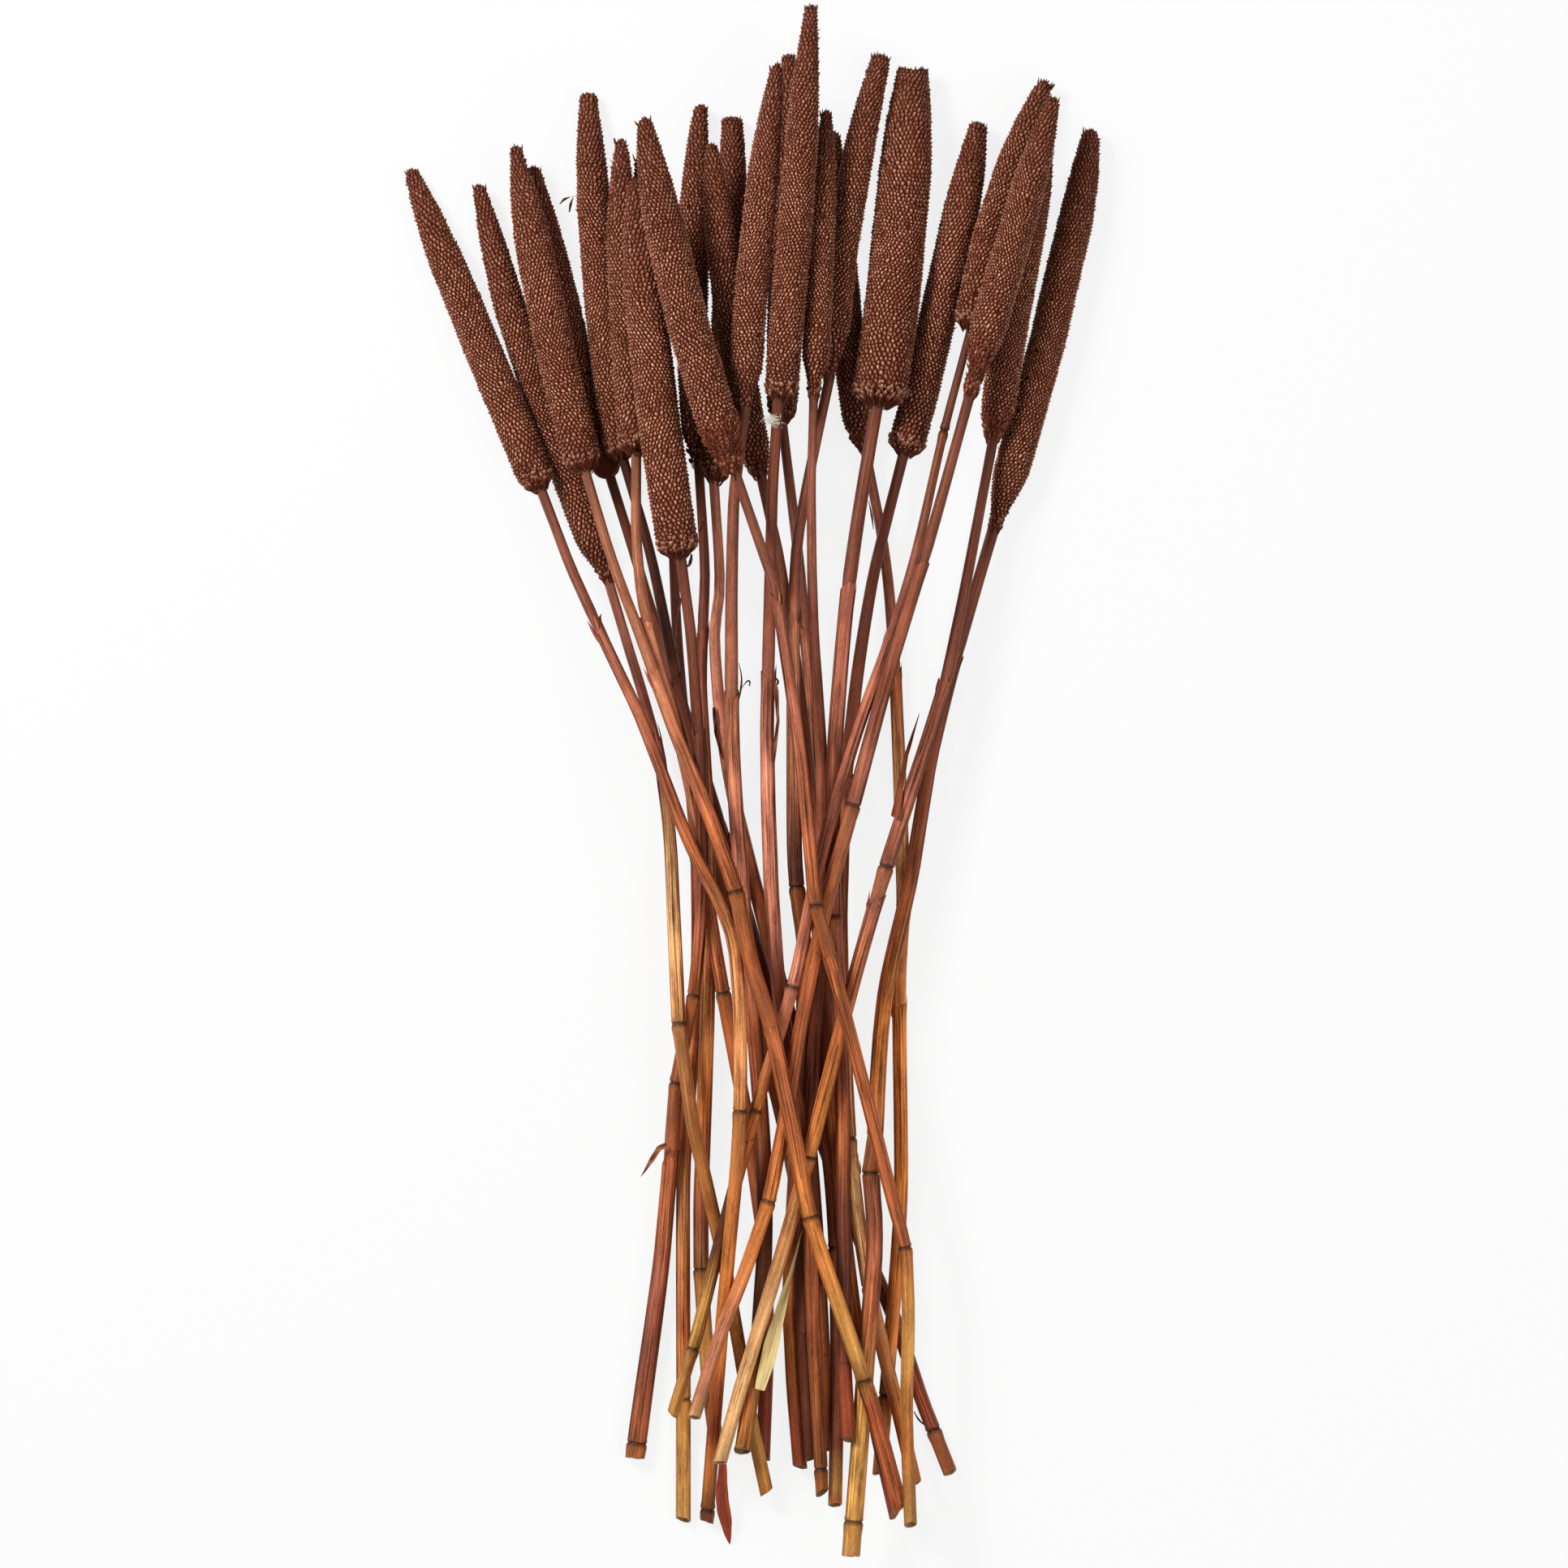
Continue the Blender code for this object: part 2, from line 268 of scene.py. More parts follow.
def note(mesh, name, values, kind="FLOAT", domain="POINT"):
    """Writes one value for each point or face, which the finish reads."""
    layer = mesh.attributes.get(name) or mesh.attributes.new(name, kind, domain)
    field = {"FLOAT": "value", "FLOAT_VECTOR": "vector", "FLOAT_COLOR": "color"}[kind]
    layer.data.foreach_set(field, np.ascontiguousarray(values, np.float32).ravel())


def triangles(pieces):
    """How many triangles the pieces would be cut into."""
    return sum(len(piece.data.loops) - 2 * len(piece.data.polygons) for piece in pieces)


# %% [markdown]
# ## Writing materials as sums
#
# A Field stands for one output of a node. Python's own operators on it add Math nodes, so that a pattern
# reads as a formula. Every other node comes from one function, which sets the node up and fills its
# sockets with numbers, colours or other Fields.

# %% Fields and nodes
class Field:
    """One output of a shader node, which can be added to, subtracted and multiplied."""

    def __init__(self, socket):
        self.socket = socket

    def sum(self, operation, first, second):
        return add(self.socket.id_data, "Math", {"operation": operation}, {0: first, 1: second})

    def __add__(self, other):
        return self.sum("ADD", self, other)

    __radd__ = __add__

    def __mul__(self, other):
        return self.sum("MULTIPLY", self, other)

    def __sub__(self, other):
        return self.sum("SUBTRACT", self, other)

    def __rsub__(self, other):
        return self.sum("SUBTRACT", other, self)


def add(tree, kind, settings=None, inputs=None, out=0):
    """Adds a shader node, sets its properties, fills its sockets and gives one of its outputs."""
    node = tree.nodes.new("ShaderNode" + kind)
    for name, value in (settings or {}).items():
        setattr(node, name, value)
    for name, value in (inputs or {}).items():
        fill(node.inputs[name], value)
    return Field(node.outputs[out])


def fill(socket, value):
    if isinstance(value, Field):
        socket.id_data.links.new(value.socket, socket)
    else:
        socket.default_value = value


def ramp(tree, level, stops):
    """The colours of the stops, blended by level."""
    colour = add(tree, "ValToRGB", {}, {"Fac": level})
    elements = colour.socket.node.color_ramp.elements
    elements.remove(elements[1])
    elements[0].position, elements[0].color = stops[0]
    for place, shade in stops[1:]:
        elements.new(place).color = shade
    return colour


def linear(*screen):
    """A colour given as red, green and blue from 0 to 255 on screen, as the shader wants it."""
    return (*(((value / 255 + 0.055) / 1.055) ** 2.4 for value in screen), 1)


def attribute(tree, name, out="Fac"):
    return add(tree, "Attribute", {"attribute_name": name}, out=out)


def noise(tree, place, scale, detail):
    """Noise from 0 to 1 at a place, which is scaled first: one number a direction."""
    scaled_place = add(tree, "Mapping", {}, {"Vector": place, "Scale": scale})
    return add(tree, "TexNoise", {}, {"Vector": scaled_place, "Scale": 1.0, "Detail": detail}, out="Fac")


def between(field, low, high):
    """0 where the field is at or under low, 1 where it is at or over high, and even between."""
    return add(field.socket.id_data, "MapRange", {"clamp": True},
               {"Value": field, "From Min": low, "From Max": high, "To Min": 0.0, "To Max": 1.0})


def mixed(mask, first, second):
    """The first colour where the mask is 0 and the second where it is 1."""
    return add(mask.socket.id_data, "Mix", {"data_type": "RGBA"}, {0: mask, 6: first, 7: second}, out=2)


def scaled(tree, colour, factor):
    """A colour made lighter or darker by a factor."""
    return add(tree, "VectorMath", {"operation": "SCALE"}, {0: colour, "Scale": factor})


def bumped(tree, height, depth):
    return add(tree, "Bump", {}, {"Height": height, "Strength": 0.6, "Distance": depth})


def material(name, draw, **plain):
    """A material whose draw function gives what feeds the shader; plain values go straight to its sockets."""
    made = bpy.data.materials.new(name)
    made.use_nodes = True
    tree = made.node_tree
    shader = tree.nodes["Principled BSDF"]
    for socket, value in {**plain, **draw(tree)}.items():
        fill(shader.inputs[socket.replace("_", " ")], value)
    return made


def dress(piece, finish):
    """Gives a piece one material, in place of any that it has."""
    piece.data.materials.clear()
    piece.data.materials.append(finish)


def geometry_tree(name):
    """A Geometry Nodes tree, and its sockets where geometry comes in and goes out."""
    tree = bpy.data.node_groups.new(name, "GeometryNodeTree")
    for way in ("INPUT", "OUTPUT"):
        tree.interface.new_socket("Geometry", in_out=way, socket_type="NodeSocketGeometry")
    return tree, tree.nodes.new("NodeGroupInput").outputs[0], tree.nodes.new("NodeGroupOutput").inputs[0]


# %% [markdown]
# ## The seed skin
#
# A pearl millet head is a cylinder packed with seeds less than 2 mm apart, as on a tiny ear of maize. At
# the base they are larger, and where the head narrows, a ring holds fewer.
#
# A copy of a seed model on every spot would cost millions of faces. Here the whole skin is one closed
# surface: points are set out in rings, half a step apart from ring to ring, and laced into triangles. The
# Dual Mesh node then turns each point into a cell with a side for each neighbour, Poke sets a point in the
# middle of each cell, which is raised to a peak, and sharp cell edges keep the shading of each seed to
# itself. A seed then costs six triangles.

# %% What sets each head apart
class HeadStyle(NamedTuple):
    blunt: float = 1.5  # how long the rounding at the tip is, in tip radii
    bowl: float = 1.0  # how long the closing at the base is, in full radii
    rim: float = 0.7  # how far the last seeds stand out from the base, in millimetres
    gaps: float = 0.1  # the share of those seeds that have dropped
    bare: float = 4.0  # how much of the base is bare of seeds, in millimetres
    chaff: float = 0.0  # how much of it is ragged with empty husks, in millimetres
    prongs: int = 5  # bare stems round the tip
    seed: float = 1.0  # the size of its seeds beside the usual
    notch: float = 0.0  # depth of a notch across the tip, in millimetres


HEADS = {
    1: HeadStyle(blunt=1.6, bowl=1.3, bare=2.0),
    2: HeadStyle(bowl=3.4, gaps=0.4, rim=0.3),
    3: HeadStyle(blunt=1.8, bowl=1.1, gaps=0.3),
    4: HeadStyle(blunt=1.0, bowl=1.1, gaps=0.96, bare=12.0, seed=0.95),
    5: HeadStyle(blunt=0.2, prongs=8),
    6: HeadStyle(blunt=1.9),
    7: HeadStyle(blunt=1.0, bowl=0.9, rim=1.0, bare=2.0, seed=1.08),
    8: HeadStyle(blunt=1.2, bowl=1.2, gaps=0.3, seed=1.05),
    9: HeadStyle(blunt=1.3, bowl=2.6, gaps=0.6, chaff=26.0),
    10: HeadStyle(blunt=0.9, bowl=2.8, gaps=0.5, prongs=9),
    11: HeadStyle(bowl=2.4, gaps=0.5, chaff=8.0),
    12: HeadStyle(blunt=0.15, bowl=1.6, gaps=0.4, prongs=11),
    13: HeadStyle(bowl=3.6, gaps=0.5, rim=0.2, seed=0.95),
    14: HeadStyle(blunt=0.6, bowl=1.8, gaps=0.3, prongs=9),
    15: HeadStyle(bowl=1.2, gaps=0.3, prongs=4, seed=0.95),
    16: HeadStyle(blunt=1.2, bowl=4.2, gaps=0.4, rim=0.2, seed=0.95),
    17: HeadStyle(blunt=1.0, bowl=2.6, gaps=0.6, bare=9.0),
    18: HeadStyle(blunt=0.6, bowl=3.8, gaps=0.3, rim=0.2, prongs=9, seed=0.95),
    19: HeadStyle(blunt=0.15, bowl=0.8, rim=1.6, gaps=0.08, bare=3.0, prongs=10, seed=1.05, notch=3.0),
    20: HeadStyle(blunt=0.9, rim=0.8, gaps=0.15, bare=2.0, prongs=8),
    21: HeadStyle(prongs=8),
    22: HeadStyle(bowl=2.6, gaps=0.7, chaff=14.0, seed=0.87),
    23: HeadStyle(bowl=4.6, gaps=0.2, rim=0.6, chaff=26.0, prongs=8, seed=0.95),
    24: HeadStyle(blunt=1.6, bowl=4.2, gaps=0.3, rim=0.2, seed=0.89),
}

# %% Set out the seeds
SEED_PITCH = 1.78 * MM
SEED_RELIEF = 0.9 * MM  # how far a seed's peak stands over the gaps beside it
ROW_SHARE = math.sqrt(3) / 2  # rows of a close packing are this share of the pitch apart
SEED_WIDEN = ((0, 0.15, 0.35, 0.55, 0.8, 1), (1.0, 1.02, 0.98, 0.93, 1.04, 1.22))  # down the head
SEED_STRETCH = ((0, 0.15, 0.35, 0.6, 0.88, 1), (1.2, 1.2, 1.1, 1.04, 1.06, 1.1))
OUTLINE_STEP = 0.2 * MM
BOWL_FROM = 0.86  # a head keeps its full radius from this share of its length to its bowl
NECK = 0.36  # the share of the full radius left where the head meets its stalk
TAPER_FROM = 1.6  # past this bowl, a base runs down to its neck as a taper
STRAY = 0.24  # how far seeds stray from their even places, in steps
SWAY = 1.5 * MM  # how far the rings of seeds wander up and down, so that their rows run askew
SWAY_PITCH = 55  # radians a metre
SETTLED = (0.03, 0.12)  # that wandering sets in between these shares of the length from either end
FEWEST = 5  # seeds in a ring
LUMPS = 0.016  # how far a head is from round, as a share of its radius
LUMP_PITCHES = (45, 15, 110)  # radians a metre, for its one, two and three flats


class Outline:
    """Distances down a head and its radius at each, with a rounded tip and the bowl of its base."""

    def __init__(self, route, style):
        self.down = np.arange(0, route.length, OUTLINE_STEP)
        self.end = self.down[-1]
        full = route.radius(np.minimum(self.down, BOWL_FROM * route.length)) - SEED_RELIEF
        from_tip = np.clip(self.down / (style.blunt * full[0]), 0, 1)
        to_neck = np.clip((route.length - self.down) / (style.bowl * full[-1]), 0, 1)
        rounded = np.sqrt(1 - (1 - from_tip) ** 2)
        closing = np.sin(to_neck * math.pi / 2) ** max(1, style.bowl / TAPER_FROM)
        self.radii = full * rounded * (NECK + (1 - NECK) * closing)

    def radius(self, down):
        return np.interp(down, self.down, self.radii)


def lumps(angles, place, turns):
    """Factors on a ring's radius: a head is not quite round, and its flats wander down it."""
    one, two, three = turns + np.array(LUMP_PITCHES) * place
    return 1 + LUMPS * (np.sin(angles + one) + np.sin(2 * angles + two) + 0.7 * np.sin(3 * angles + three))


def seed_rings(outline, style, chance):
    """For each ring of seeds: how far down each one lies, its angle round the head and its radius."""
    travelled = np.append(0, np.cumsum(np.hypot(np.diff(outline.down), np.diff(outline.radii))))
    usual = SEED_PITCH * style.seed
    place, start, rings = usual / 2, 0.0, []
    turns = chance.uniform(0, TURN, 3)
    while place < travelled[-1] - usual / 2:
        at, wide = (np.interp(place, travelled, values) for values in (outline.down, outline.radii))
        share = at / outline.end
        pitch = usual * np.interp(share, *SEED_WIDEN)
        row = pitch * ROW_SHARE * np.interp(share, *SEED_STRETCH)
        count = max(FEWEST, round(TURN * wide / pitch))
        step = TURN / count
        start = (start + step / 2) % step
        angles = start + step * (np.arange(count) + STRAY * chance.standard_normal(count))
        sway = SWAY * np.sin(angles + turns[0] + SWAY_PITCH * place)
        sway *= even(share, *SETTLED) * even(1 - share, *SETTLED)
        places = place + STRAY * row * chance.standard_normal(count) + sway
        radii = np.interp(places, travelled, outline.radii) * lumps(angles, at, turns)
        rings.append((np.interp(places, travelled, outline.down), angles, radii))
        place += row
    return rings


def laced(rings):
    """Triangles between each two rings in turn, and a fan to a point at either end."""
    sizes = [len(angles) for _, angles, _ in rings]
    firsts = 1 + np.append(0, np.cumsum(sizes))
    faces = []
    for ring, (a_first, b_first) in enumerate(zip(firsts, firsts[1:-1])):
        a, b = (np.append(angles, angles[0] + TURN) for _, angles, _ in rings[ring:ring + 2])
        i = j = 0
        while i < len(a) - 1 or j < len(b) - 1:
            here, there = a_first + i % (len(a) - 1), b_first + j % (len(b) - 1)
            if j == len(b) - 1 or (i < len(a) - 1 and a[i + 1] <= b[j + 1]):
                i += 1
                faces.append((here, a_first + i % (len(a) - 1), there))
            else:
                j += 1
                faces.append((here, b_first + j % (len(b) - 1), there))
    tip_fan = [(0, 1 + (k + 1) % sizes[0], 1 + k) for k in range(sizes[0])]
    last, end = firsts[-2], firsts[-1]
    neck_fan = [(end, last + k, last + (k + 1) % sizes[-1]) for k in range(sizes[-1])]
    return faces + tip_fan + neck_fan


# %% Turn points into cells
NOTCH_WIDE = 0.7  # half the width of a notch across the tip, in tip radii
NOTCH_RUN = 2 * MM


def dual_tree():
    """Geometry Nodes that swap points and faces."""
    tree, start, end = geometry_tree("points to cells")
    dual = tree.nodes.new("GeometryNodeDualMesh")
    tree.links.new(start, dual.inputs[0])
    tree.links.new(dual.outputs[0], end)
    return tree


POINTS_TO_CELLS = dual_tree()


def ring_of(angles, radii, heights):
    """Points at these angles round the Z axis."""
    return np.column_stack([radii * np.cos(angles), radii * np.sin(angles), heights])


def seed_skin(route, style, outline, chance):
    """The skin of one straight head, tip at the origin, with a peak on every seed."""
    rings = seed_rings(outline, style, chance)
    places = [ring_of(angles, radii, down) for down, angles, radii in rings]
    points = np.vstack([[(0, 0, 0)], *places, [(0, 0, outline.end)]])
    cleft = np.clip(1 - np.abs(points[:, 0]) / (NOTCH_WIDE * route.radii[0]), 0, 1)
    points[:, 2] += style.notch * MM * cleft * np.exp(-points[:, 2] / NOTCH_RUN)
    skin = mesh_object("skin", points, laced(rings))
    tone, height = seed_tones(points, route.length, style, chance)
    note(skin.data, "tone", tone)
    note(skin.data, "height", height)
    apply_modifier(skin, "NODES", node_group=POINTS_TO_CELLS)
    corners = len(skin.data.vertices)
    face_outwards(skin)
    with editing(skin):
        bpy.ops.mesh.mark_sharp()
        bpy.ops.mesh.poke(offset=0, center_mode="MEDIAN")
    raise_peaks(skin.data, corners, route.length, chance)
    skin.data.shade_smooth()
    return skin


# %% [markdown]
# Every seed gets a tone and a height, before the points become cells. A height of 1 is a sound seed, 0.1
# the smooth skin of the bare base, and under 0 a hole that a lost seed left.
#
# A peak leans towards the tip of the head, most of all near it, where seeds lie like scales. The finish
# reads how high a point is on its seed, and paints shade low in the gaps and a highlight on top. The sides
# of a cell count as deeper than its ends, and that draws the seeds out along the head.

# %% Raise the seeds
BARE_HEIGHT = 0.1
HOLE = -0.4
TONE_WAVES = (220, 340, 520, 700)  # radians a metre, for the waves of darker and paler seeds
WAVE_SHARE, TONE_SPREAD, HEIGHT_SPREAD = 0.05, 0.25, 0.2
LOST_SHARE = 0.004
WORN_SHARE = 0.03  # more are lost in the most worn patches
WORN_FROM = 2.4  # where those waves add up to more than this
LEAN = ((0, 0.3, 0.6, 1), (0.34, 0.3, 0.12, 0.0))  # of a peak towards the tip, in pitches, down the head
SIDE_DEPTH, END_DEPTH = -0.68, 0.18  # what the corners of a cell count as, beside 1 at its peak
SWIRL = 0.35  # radians by which seeds are turned from the head's axis, here one way and there the other
SWIRL_PITCH = 70  # radians a metre


def seed_tones(points, length, style, chance):
    """A tone from 0, dark, to 1, pale, and a height for each seed."""
    waves = sum(np.sin(points @ chance.normal(0, pitch, 3) + chance.uniform(0, TURN)) for pitch in TONE_WAVES)
    tone = 0.5 + WAVE_SHARE * waves + TONE_SPREAD * chance.standard_normal(len(points))
    height = chance.normal(1, HEIGHT_SPREAD, len(points))
    from_base = (length - points[:, 2]) / MM
    ragged = from_base < style.chaff * chance.uniform(0.7, 1.1, len(points))
    height[ragged] = chance.uniform(0.1, 0.75, ragged.sum())
    tone[ragged] = chance.uniform(0, 0.8, ragged.sum())
    height[from_base < style.bare] = BARE_HEIGHT
    height[chance.random(len(points)) < LOST_SHARE + WORN_SHARE * (waves > WORN_FROM)] = HOLE
    return np.clip(tone, 0, 1), height


def raise_peaks(mesh, corners, length, chance):
    """Moves the middle of each cell out by its seed's height, and notes how high each corner counts as."""
    places = points_of(mesh)
    faces = numbers(mesh.polygons, "vertices", 3, np.int32)
    middles = faces.max(axis=1)
    height = np.zeros(len(places))
    height[middles] = numbers(mesh.attributes["height"].data, "value", 1)[:, 0]
    away = places[faces] - places[middles][:, None]
    round_at = np.arctan2(places[middles, 1], places[middles, 0])[:, None]
    swirl = SWIRL * np.sin(chance.uniform(0, 6) + round_at + SWIRL_PITCH * places[middles, 2, None])
    aside = away[:, :, 1] * np.cos(round_at) - away[:, :, 0] * np.sin(round_at)
    lengthwise = away[:, :, 2] * np.cos(swirl) + aside * np.sin(swirl)
    ends = lengthwise**2 / np.maximum((away**2).sum(axis=2), 1e-12)
    sound = np.clip(height[middles], 0, 1)[:, None]
    rise = np.where(faces == middles[:, None], 1, SIDE_DEPTH + (END_DEPTH - SIDE_DEPTH) * ends) * sound
    rise[np.isclose(sound[:, 0], BARE_HEIGHT)] = BARE_HEIGHT
    lift = height * (np.arange(len(places)) >= corners)
    places += (SEED_RELIEF * lift)[:, None] * numbers(mesh.vertices, "normal", 3)
    places[:, 2] -= SEED_PITCH * lift * np.interp(places[:, 2] / length, *LEAN)
    move_points(mesh, places)
    note(mesh, "rise", rise, domain="CORNER")


# %% [markdown]
# ## The collar, the prongs and the husks
#
# At the base the last seeds stand on longer stems, which spread from the neck like the ribs of an
# umbrella, so that the head ends in a rim of big, splayed seeds. Bare stems stick out round the tip, and a
# few between the seeds elsewhere. Where seeds have been rubbed off, a mat of empty husks is left.
#
# One stemmed seed and one pointed husk are modelled once, from spheres, and Geometry Nodes sets a copy on
# each seat, turned along that seat's aim and stretched to its size. The copies are realized, so they are
# plain mesh.

# %% Model one stemmed seed and one husk
# Their heights pick colours as on the seed skin, from painted shade at the foot to a painted highlight near
# the top of a stemmed seed.
STEMMED = (  # width up a stemmed seed, and what its heights count as
    ((0, 0.33, 0.5, 0.67, 0.83, 1), (0.5, 0.42, 0.36, 0.8, 1.0, 0.1)),
    ((0, 0.33, 0.5, 0.67, 0.83, 1), (0.18, 0.2, 0.08, 0.16, 0.54, 0.82)),
)
POINTED = (  # the same for a husk or a bare stem
    ((0, 0.17, 0.33, 0.67, 0.83, 1), (0.6, 0.9, 1.0, 0.6, 0.35, 0.05)),
    ((0, 0.33, 0.67, 1), (0.02, 0.12, 0.26, 0.12)),
)
MODEL_SIDES, MODEL_RINGS = 5, 6


def model(name, widths, rises):
    """One unit long up Z from the origin and one unit in radius at its widest."""
    bpy.ops.mesh.primitive_uv_sphere_add(segments=MODEL_SIDES, ring_count=MODEL_RINGS, radius=1)
    seed = bpy.context.object
    seed.name = name
    places = points_of(seed.data)
    up = np.arccos(np.clip(-places[:, 2], -1, 1)) / math.pi
    across = np.hypot(places[:, 0], places[:, 1])
    places[:, :2] *= (np.interp(up, *widths) / np.where(across > 0.01, across, np.inf))[:, None]
    places[:, 2] = up
    move_points(seed.data, places)
    corner_of = numbers(seed.data.loops, "vertex_index", 1, np.int32)[:, 0]
    note(seed.data, "rise", np.interp(up, *rises)[corner_of], domain="CORNER")
    seed.data.shade_smooth()
    return seed


MODELS = [model("stemmed_seed", *STEMMED), model("husk", *POINTED)]
FACES_EACH = len(MODELS[0].data.polygons)
print("a stemmed seed and a husk have", FACES_EACH, "faces each")


# %% Plant copies of them
def planting_tree(planted):
    """Geometry Nodes that set a copy of a model on every point, along its aim and at its size."""
    tree, start, end = geometry_tree("plant")
    source = tree.nodes.new("GeometryNodeObjectInfo")
    source.inputs["Object"].default_value = planted
    put = tree.nodes.new("GeometryNodeInstanceOnPoints")
    turn = tree.nodes.new("FunctionNodeAlignRotationToVector")
    turn.axis = "Z"
    realize = tree.nodes.new("GeometryNodeRealizeInstances")
    for name, socket in (("aim", turn.inputs["Vector"]), ("size", put.inputs["Scale"])):
        read = tree.nodes.new("GeometryNodeInputNamedAttribute")
        read.data_type = "FLOAT_VECTOR"
        read.inputs["Name"].default_value = name
        tree.links.new(read.outputs[0], socket)
    tree.links.new(start, put.inputs["Points"])
    tree.links.new(source.outputs["Geometry"], put.inputs["Instance"])
    tree.links.new(turn.outputs[0], put.inputs["Rotation"])
    tree.links.new(put.outputs[0], realize.inputs[0])
    tree.links.new(realize.outputs[0], end)
    return tree


PLANT_SEEDS, PLANT_HUSKS = (planting_tree(planted) for planted in MODELS)


def plant(tree, groups, tones):
    """Groups of feet, tips and widths, each set with one of the tree's models, as one mesh."""
    feet, tips, widths = (np.concatenate(parts) for parts in zip(*groups))
    aims = tips - feet
    lengths = np.linalg.norm(aims, axis=1)
    seats = mesh_object("seats", feet)
    note(seats.data, "aim", aims / lengths[:, None], "FLOAT_VECTOR")
    note(seats.data, "size", np.column_stack([widths, widths, lengths]), "FLOAT_VECTOR")
    apply_modifier(seats, "NODES", node_group=tree)
    note(seats.data, "tone", np.repeat(tones(len(feet)), FACES_EACH), domain="FACE")
    return seats


# %% Where the stemmed seeds go
COLLAR = (  # how far each row stands up from the neck and half the width of its seeds, in millimetres
    (-0.8, 0.8), (0.4, 0.9), (1.8, 0.98), (3.4, 1.0))
COLLAR_LENGTH = 5.6 * MM
ROOTED = 0.8  # how far out their feet stand, as a share of the radius there
COLLAR_PITCH = 2.5 * MM
PAIRED = 0.18  # how far the two seeds of a pair lean to each other, in steps
COLLAR_STRAY = 0.12  # how far each strays from there, in steps
COLLAR_LIFT, COLLAR_SPREAD = 0.75 * MM, 0.3 * MM  # how unevenly they stand up and out
BRISTLES = 34
HUSK_AREA = 2.4 * MM**2  # of the skin, for each husk


def collar(outline, style, chance):
    """Rings of splayed seeds round the base of a head."""
    parts = []
    for foot, width in COLLAR:
        low = outline.end - foot * MM
        high = low - COLLAR_LENGTH
        out = outline.radius(high) + style.rim * MM
        count = round(TURN * out / COLLAR_PITCH / 2) * 2
        step = TURN / count
        order = np.arange(count)
        lean = np.where(order % 2, -PAIRED, PAIRED)
        angles = step * (order + lean + COLLAR_STRAY * chance.standard_normal(count))
        angles += chance.uniform(0, step)
        lift = COLLAR_LIFT * chance.standard_normal(count)
        feet = ring_of(angles, ROOTED * outline.radius(low), low + lift)
        tips = ring_of(angles, out + COLLAR_SPREAD * chance.standard_normal(count), high + lift)
        kept = chance.random(count) > style.gaps
        parts.append((feet[kept], tips[kept], width * MM * chance.normal(1, 0.12, kept.sum())))
    return parts


def prongs(radius, count, chance):
    """Bare stems round the tip of a head."""
    angles = chance.uniform(0, TURN, count)
    out = radius * np.sqrt(chance.uniform(0.25, 1, count))
    feet = ring_of(angles, out * 0.75, chance.uniform(2, 4, count) * MM)
    tips = ring_of(angles, out * 1.05, chance.uniform(-1.7, 0.8, count) * MM)
    return feet, tips, chance.uniform(0.4, 0.7, count) * MM


def bristles(outline, count, chance):
    """Stray stems that poke out between the seeds all over a head."""
    low = chance.uniform(0.03, 0.93, count) * outline.end
    angles = chance.uniform(0, TURN, count)
    radii = outline.radius(low)
    feet = ring_of(angles, radii - 0.6 * MM, low + chance.uniform(0.2, 1.2, count) * MM)
    out = radii + chance.uniform(0.8, 1.7, count) * MM
    tips = ring_of(angles, out, low - chance.uniform(0.2, 1.6, count) * MM)
    return feet, tips, chance.uniform(0.3, 0.55, count) * MM


def husks(outline, reach, chance):
    """A ragged mat of empty husks over the low part of a head."""
    area = TURN * outline.radii[outline.down > outline.end - reach].mean() * reach if reach else 0
    count = round(area / HUSK_AREA)
    low = outline.end - reach * chance.uniform(0, 1, count) ** 0.8
    angles = chance.uniform(0, TURN, count)
    turn = chance.normal(0, 0.2, count)
    high = low - chance.uniform(1.2, 3.2, count) * MM
    feet = ring_of(angles, outline.radius(low) * 0.9, low)
    out = outline.radius(high) + chance.uniform(0.3, 1.7, count) * MM
    tips = ring_of(angles + turn, out, high)
    return feet, tips, chance.uniform(0.35, 0.65, count) * MM


# %% [markdown]
# ## Twenty-four heads

# %% Put a head together
def make_head(number):
    style, route = HEADS[number], Route(f"seed_head_{number:02d}")
    outline, chance = Outline(route, style), np.random.default_rng(number)
    chaff = style.chaff * MM
    skin = seed_skin(route, style, outline, chance)
    splayed = plant(PLANT_SEEDS, collar(outline, style, chance), lambda n: chance.uniform(0.1, 0.9, n))
    pointed = [prongs(route.radii[0], style.prongs, chance), bristles(outline, BRISTLES, chance),
               husks(outline, chaff, chance)]
    rough = plant(PLANT_HUSKS, pointed, chance.random)
    head = joined(f"millet_head_{number:02d}", skin, splayed, rough)
    down = points_of(head.data)[:, 2]
    note(head.data, "down", down / route.length)
    note(head.data, "chaff", even(down - route.length + chaff, -MM, 4 * MM))
    bend_along(head, route)
    return head


# %% Colour the seeds
# The seed colours run from the dark gaps, partly the seeds' own dark brown and partly painted shade, through
# their reds and tans, to a painted highlight on the top of each seed.
GAP_SHADE_TO_HIGHLIGHT_TONES = (  # from the gap between two seeds to the top of a seed
    (0.0, linear(60, 22, 10)),
    (0.2, linear(108, 52, 32)),
    (0.5, linear(160, 98, 72)),
    (0.8, linear(212, 154, 126)),
    (1.0, linear(255, 218, 198)),
)
TIP_RED = linear(92, 43, 34)
# The neck colour is the dark red low on the seeds and stems at the base of a head, made darker still as
# painted shade there.
NECK_RED_AND_SHADE = linear(86, 37, 27)
OCHRE = linear(206, 150, 96)
HUSK_TAN = linear(184, 112, 84)


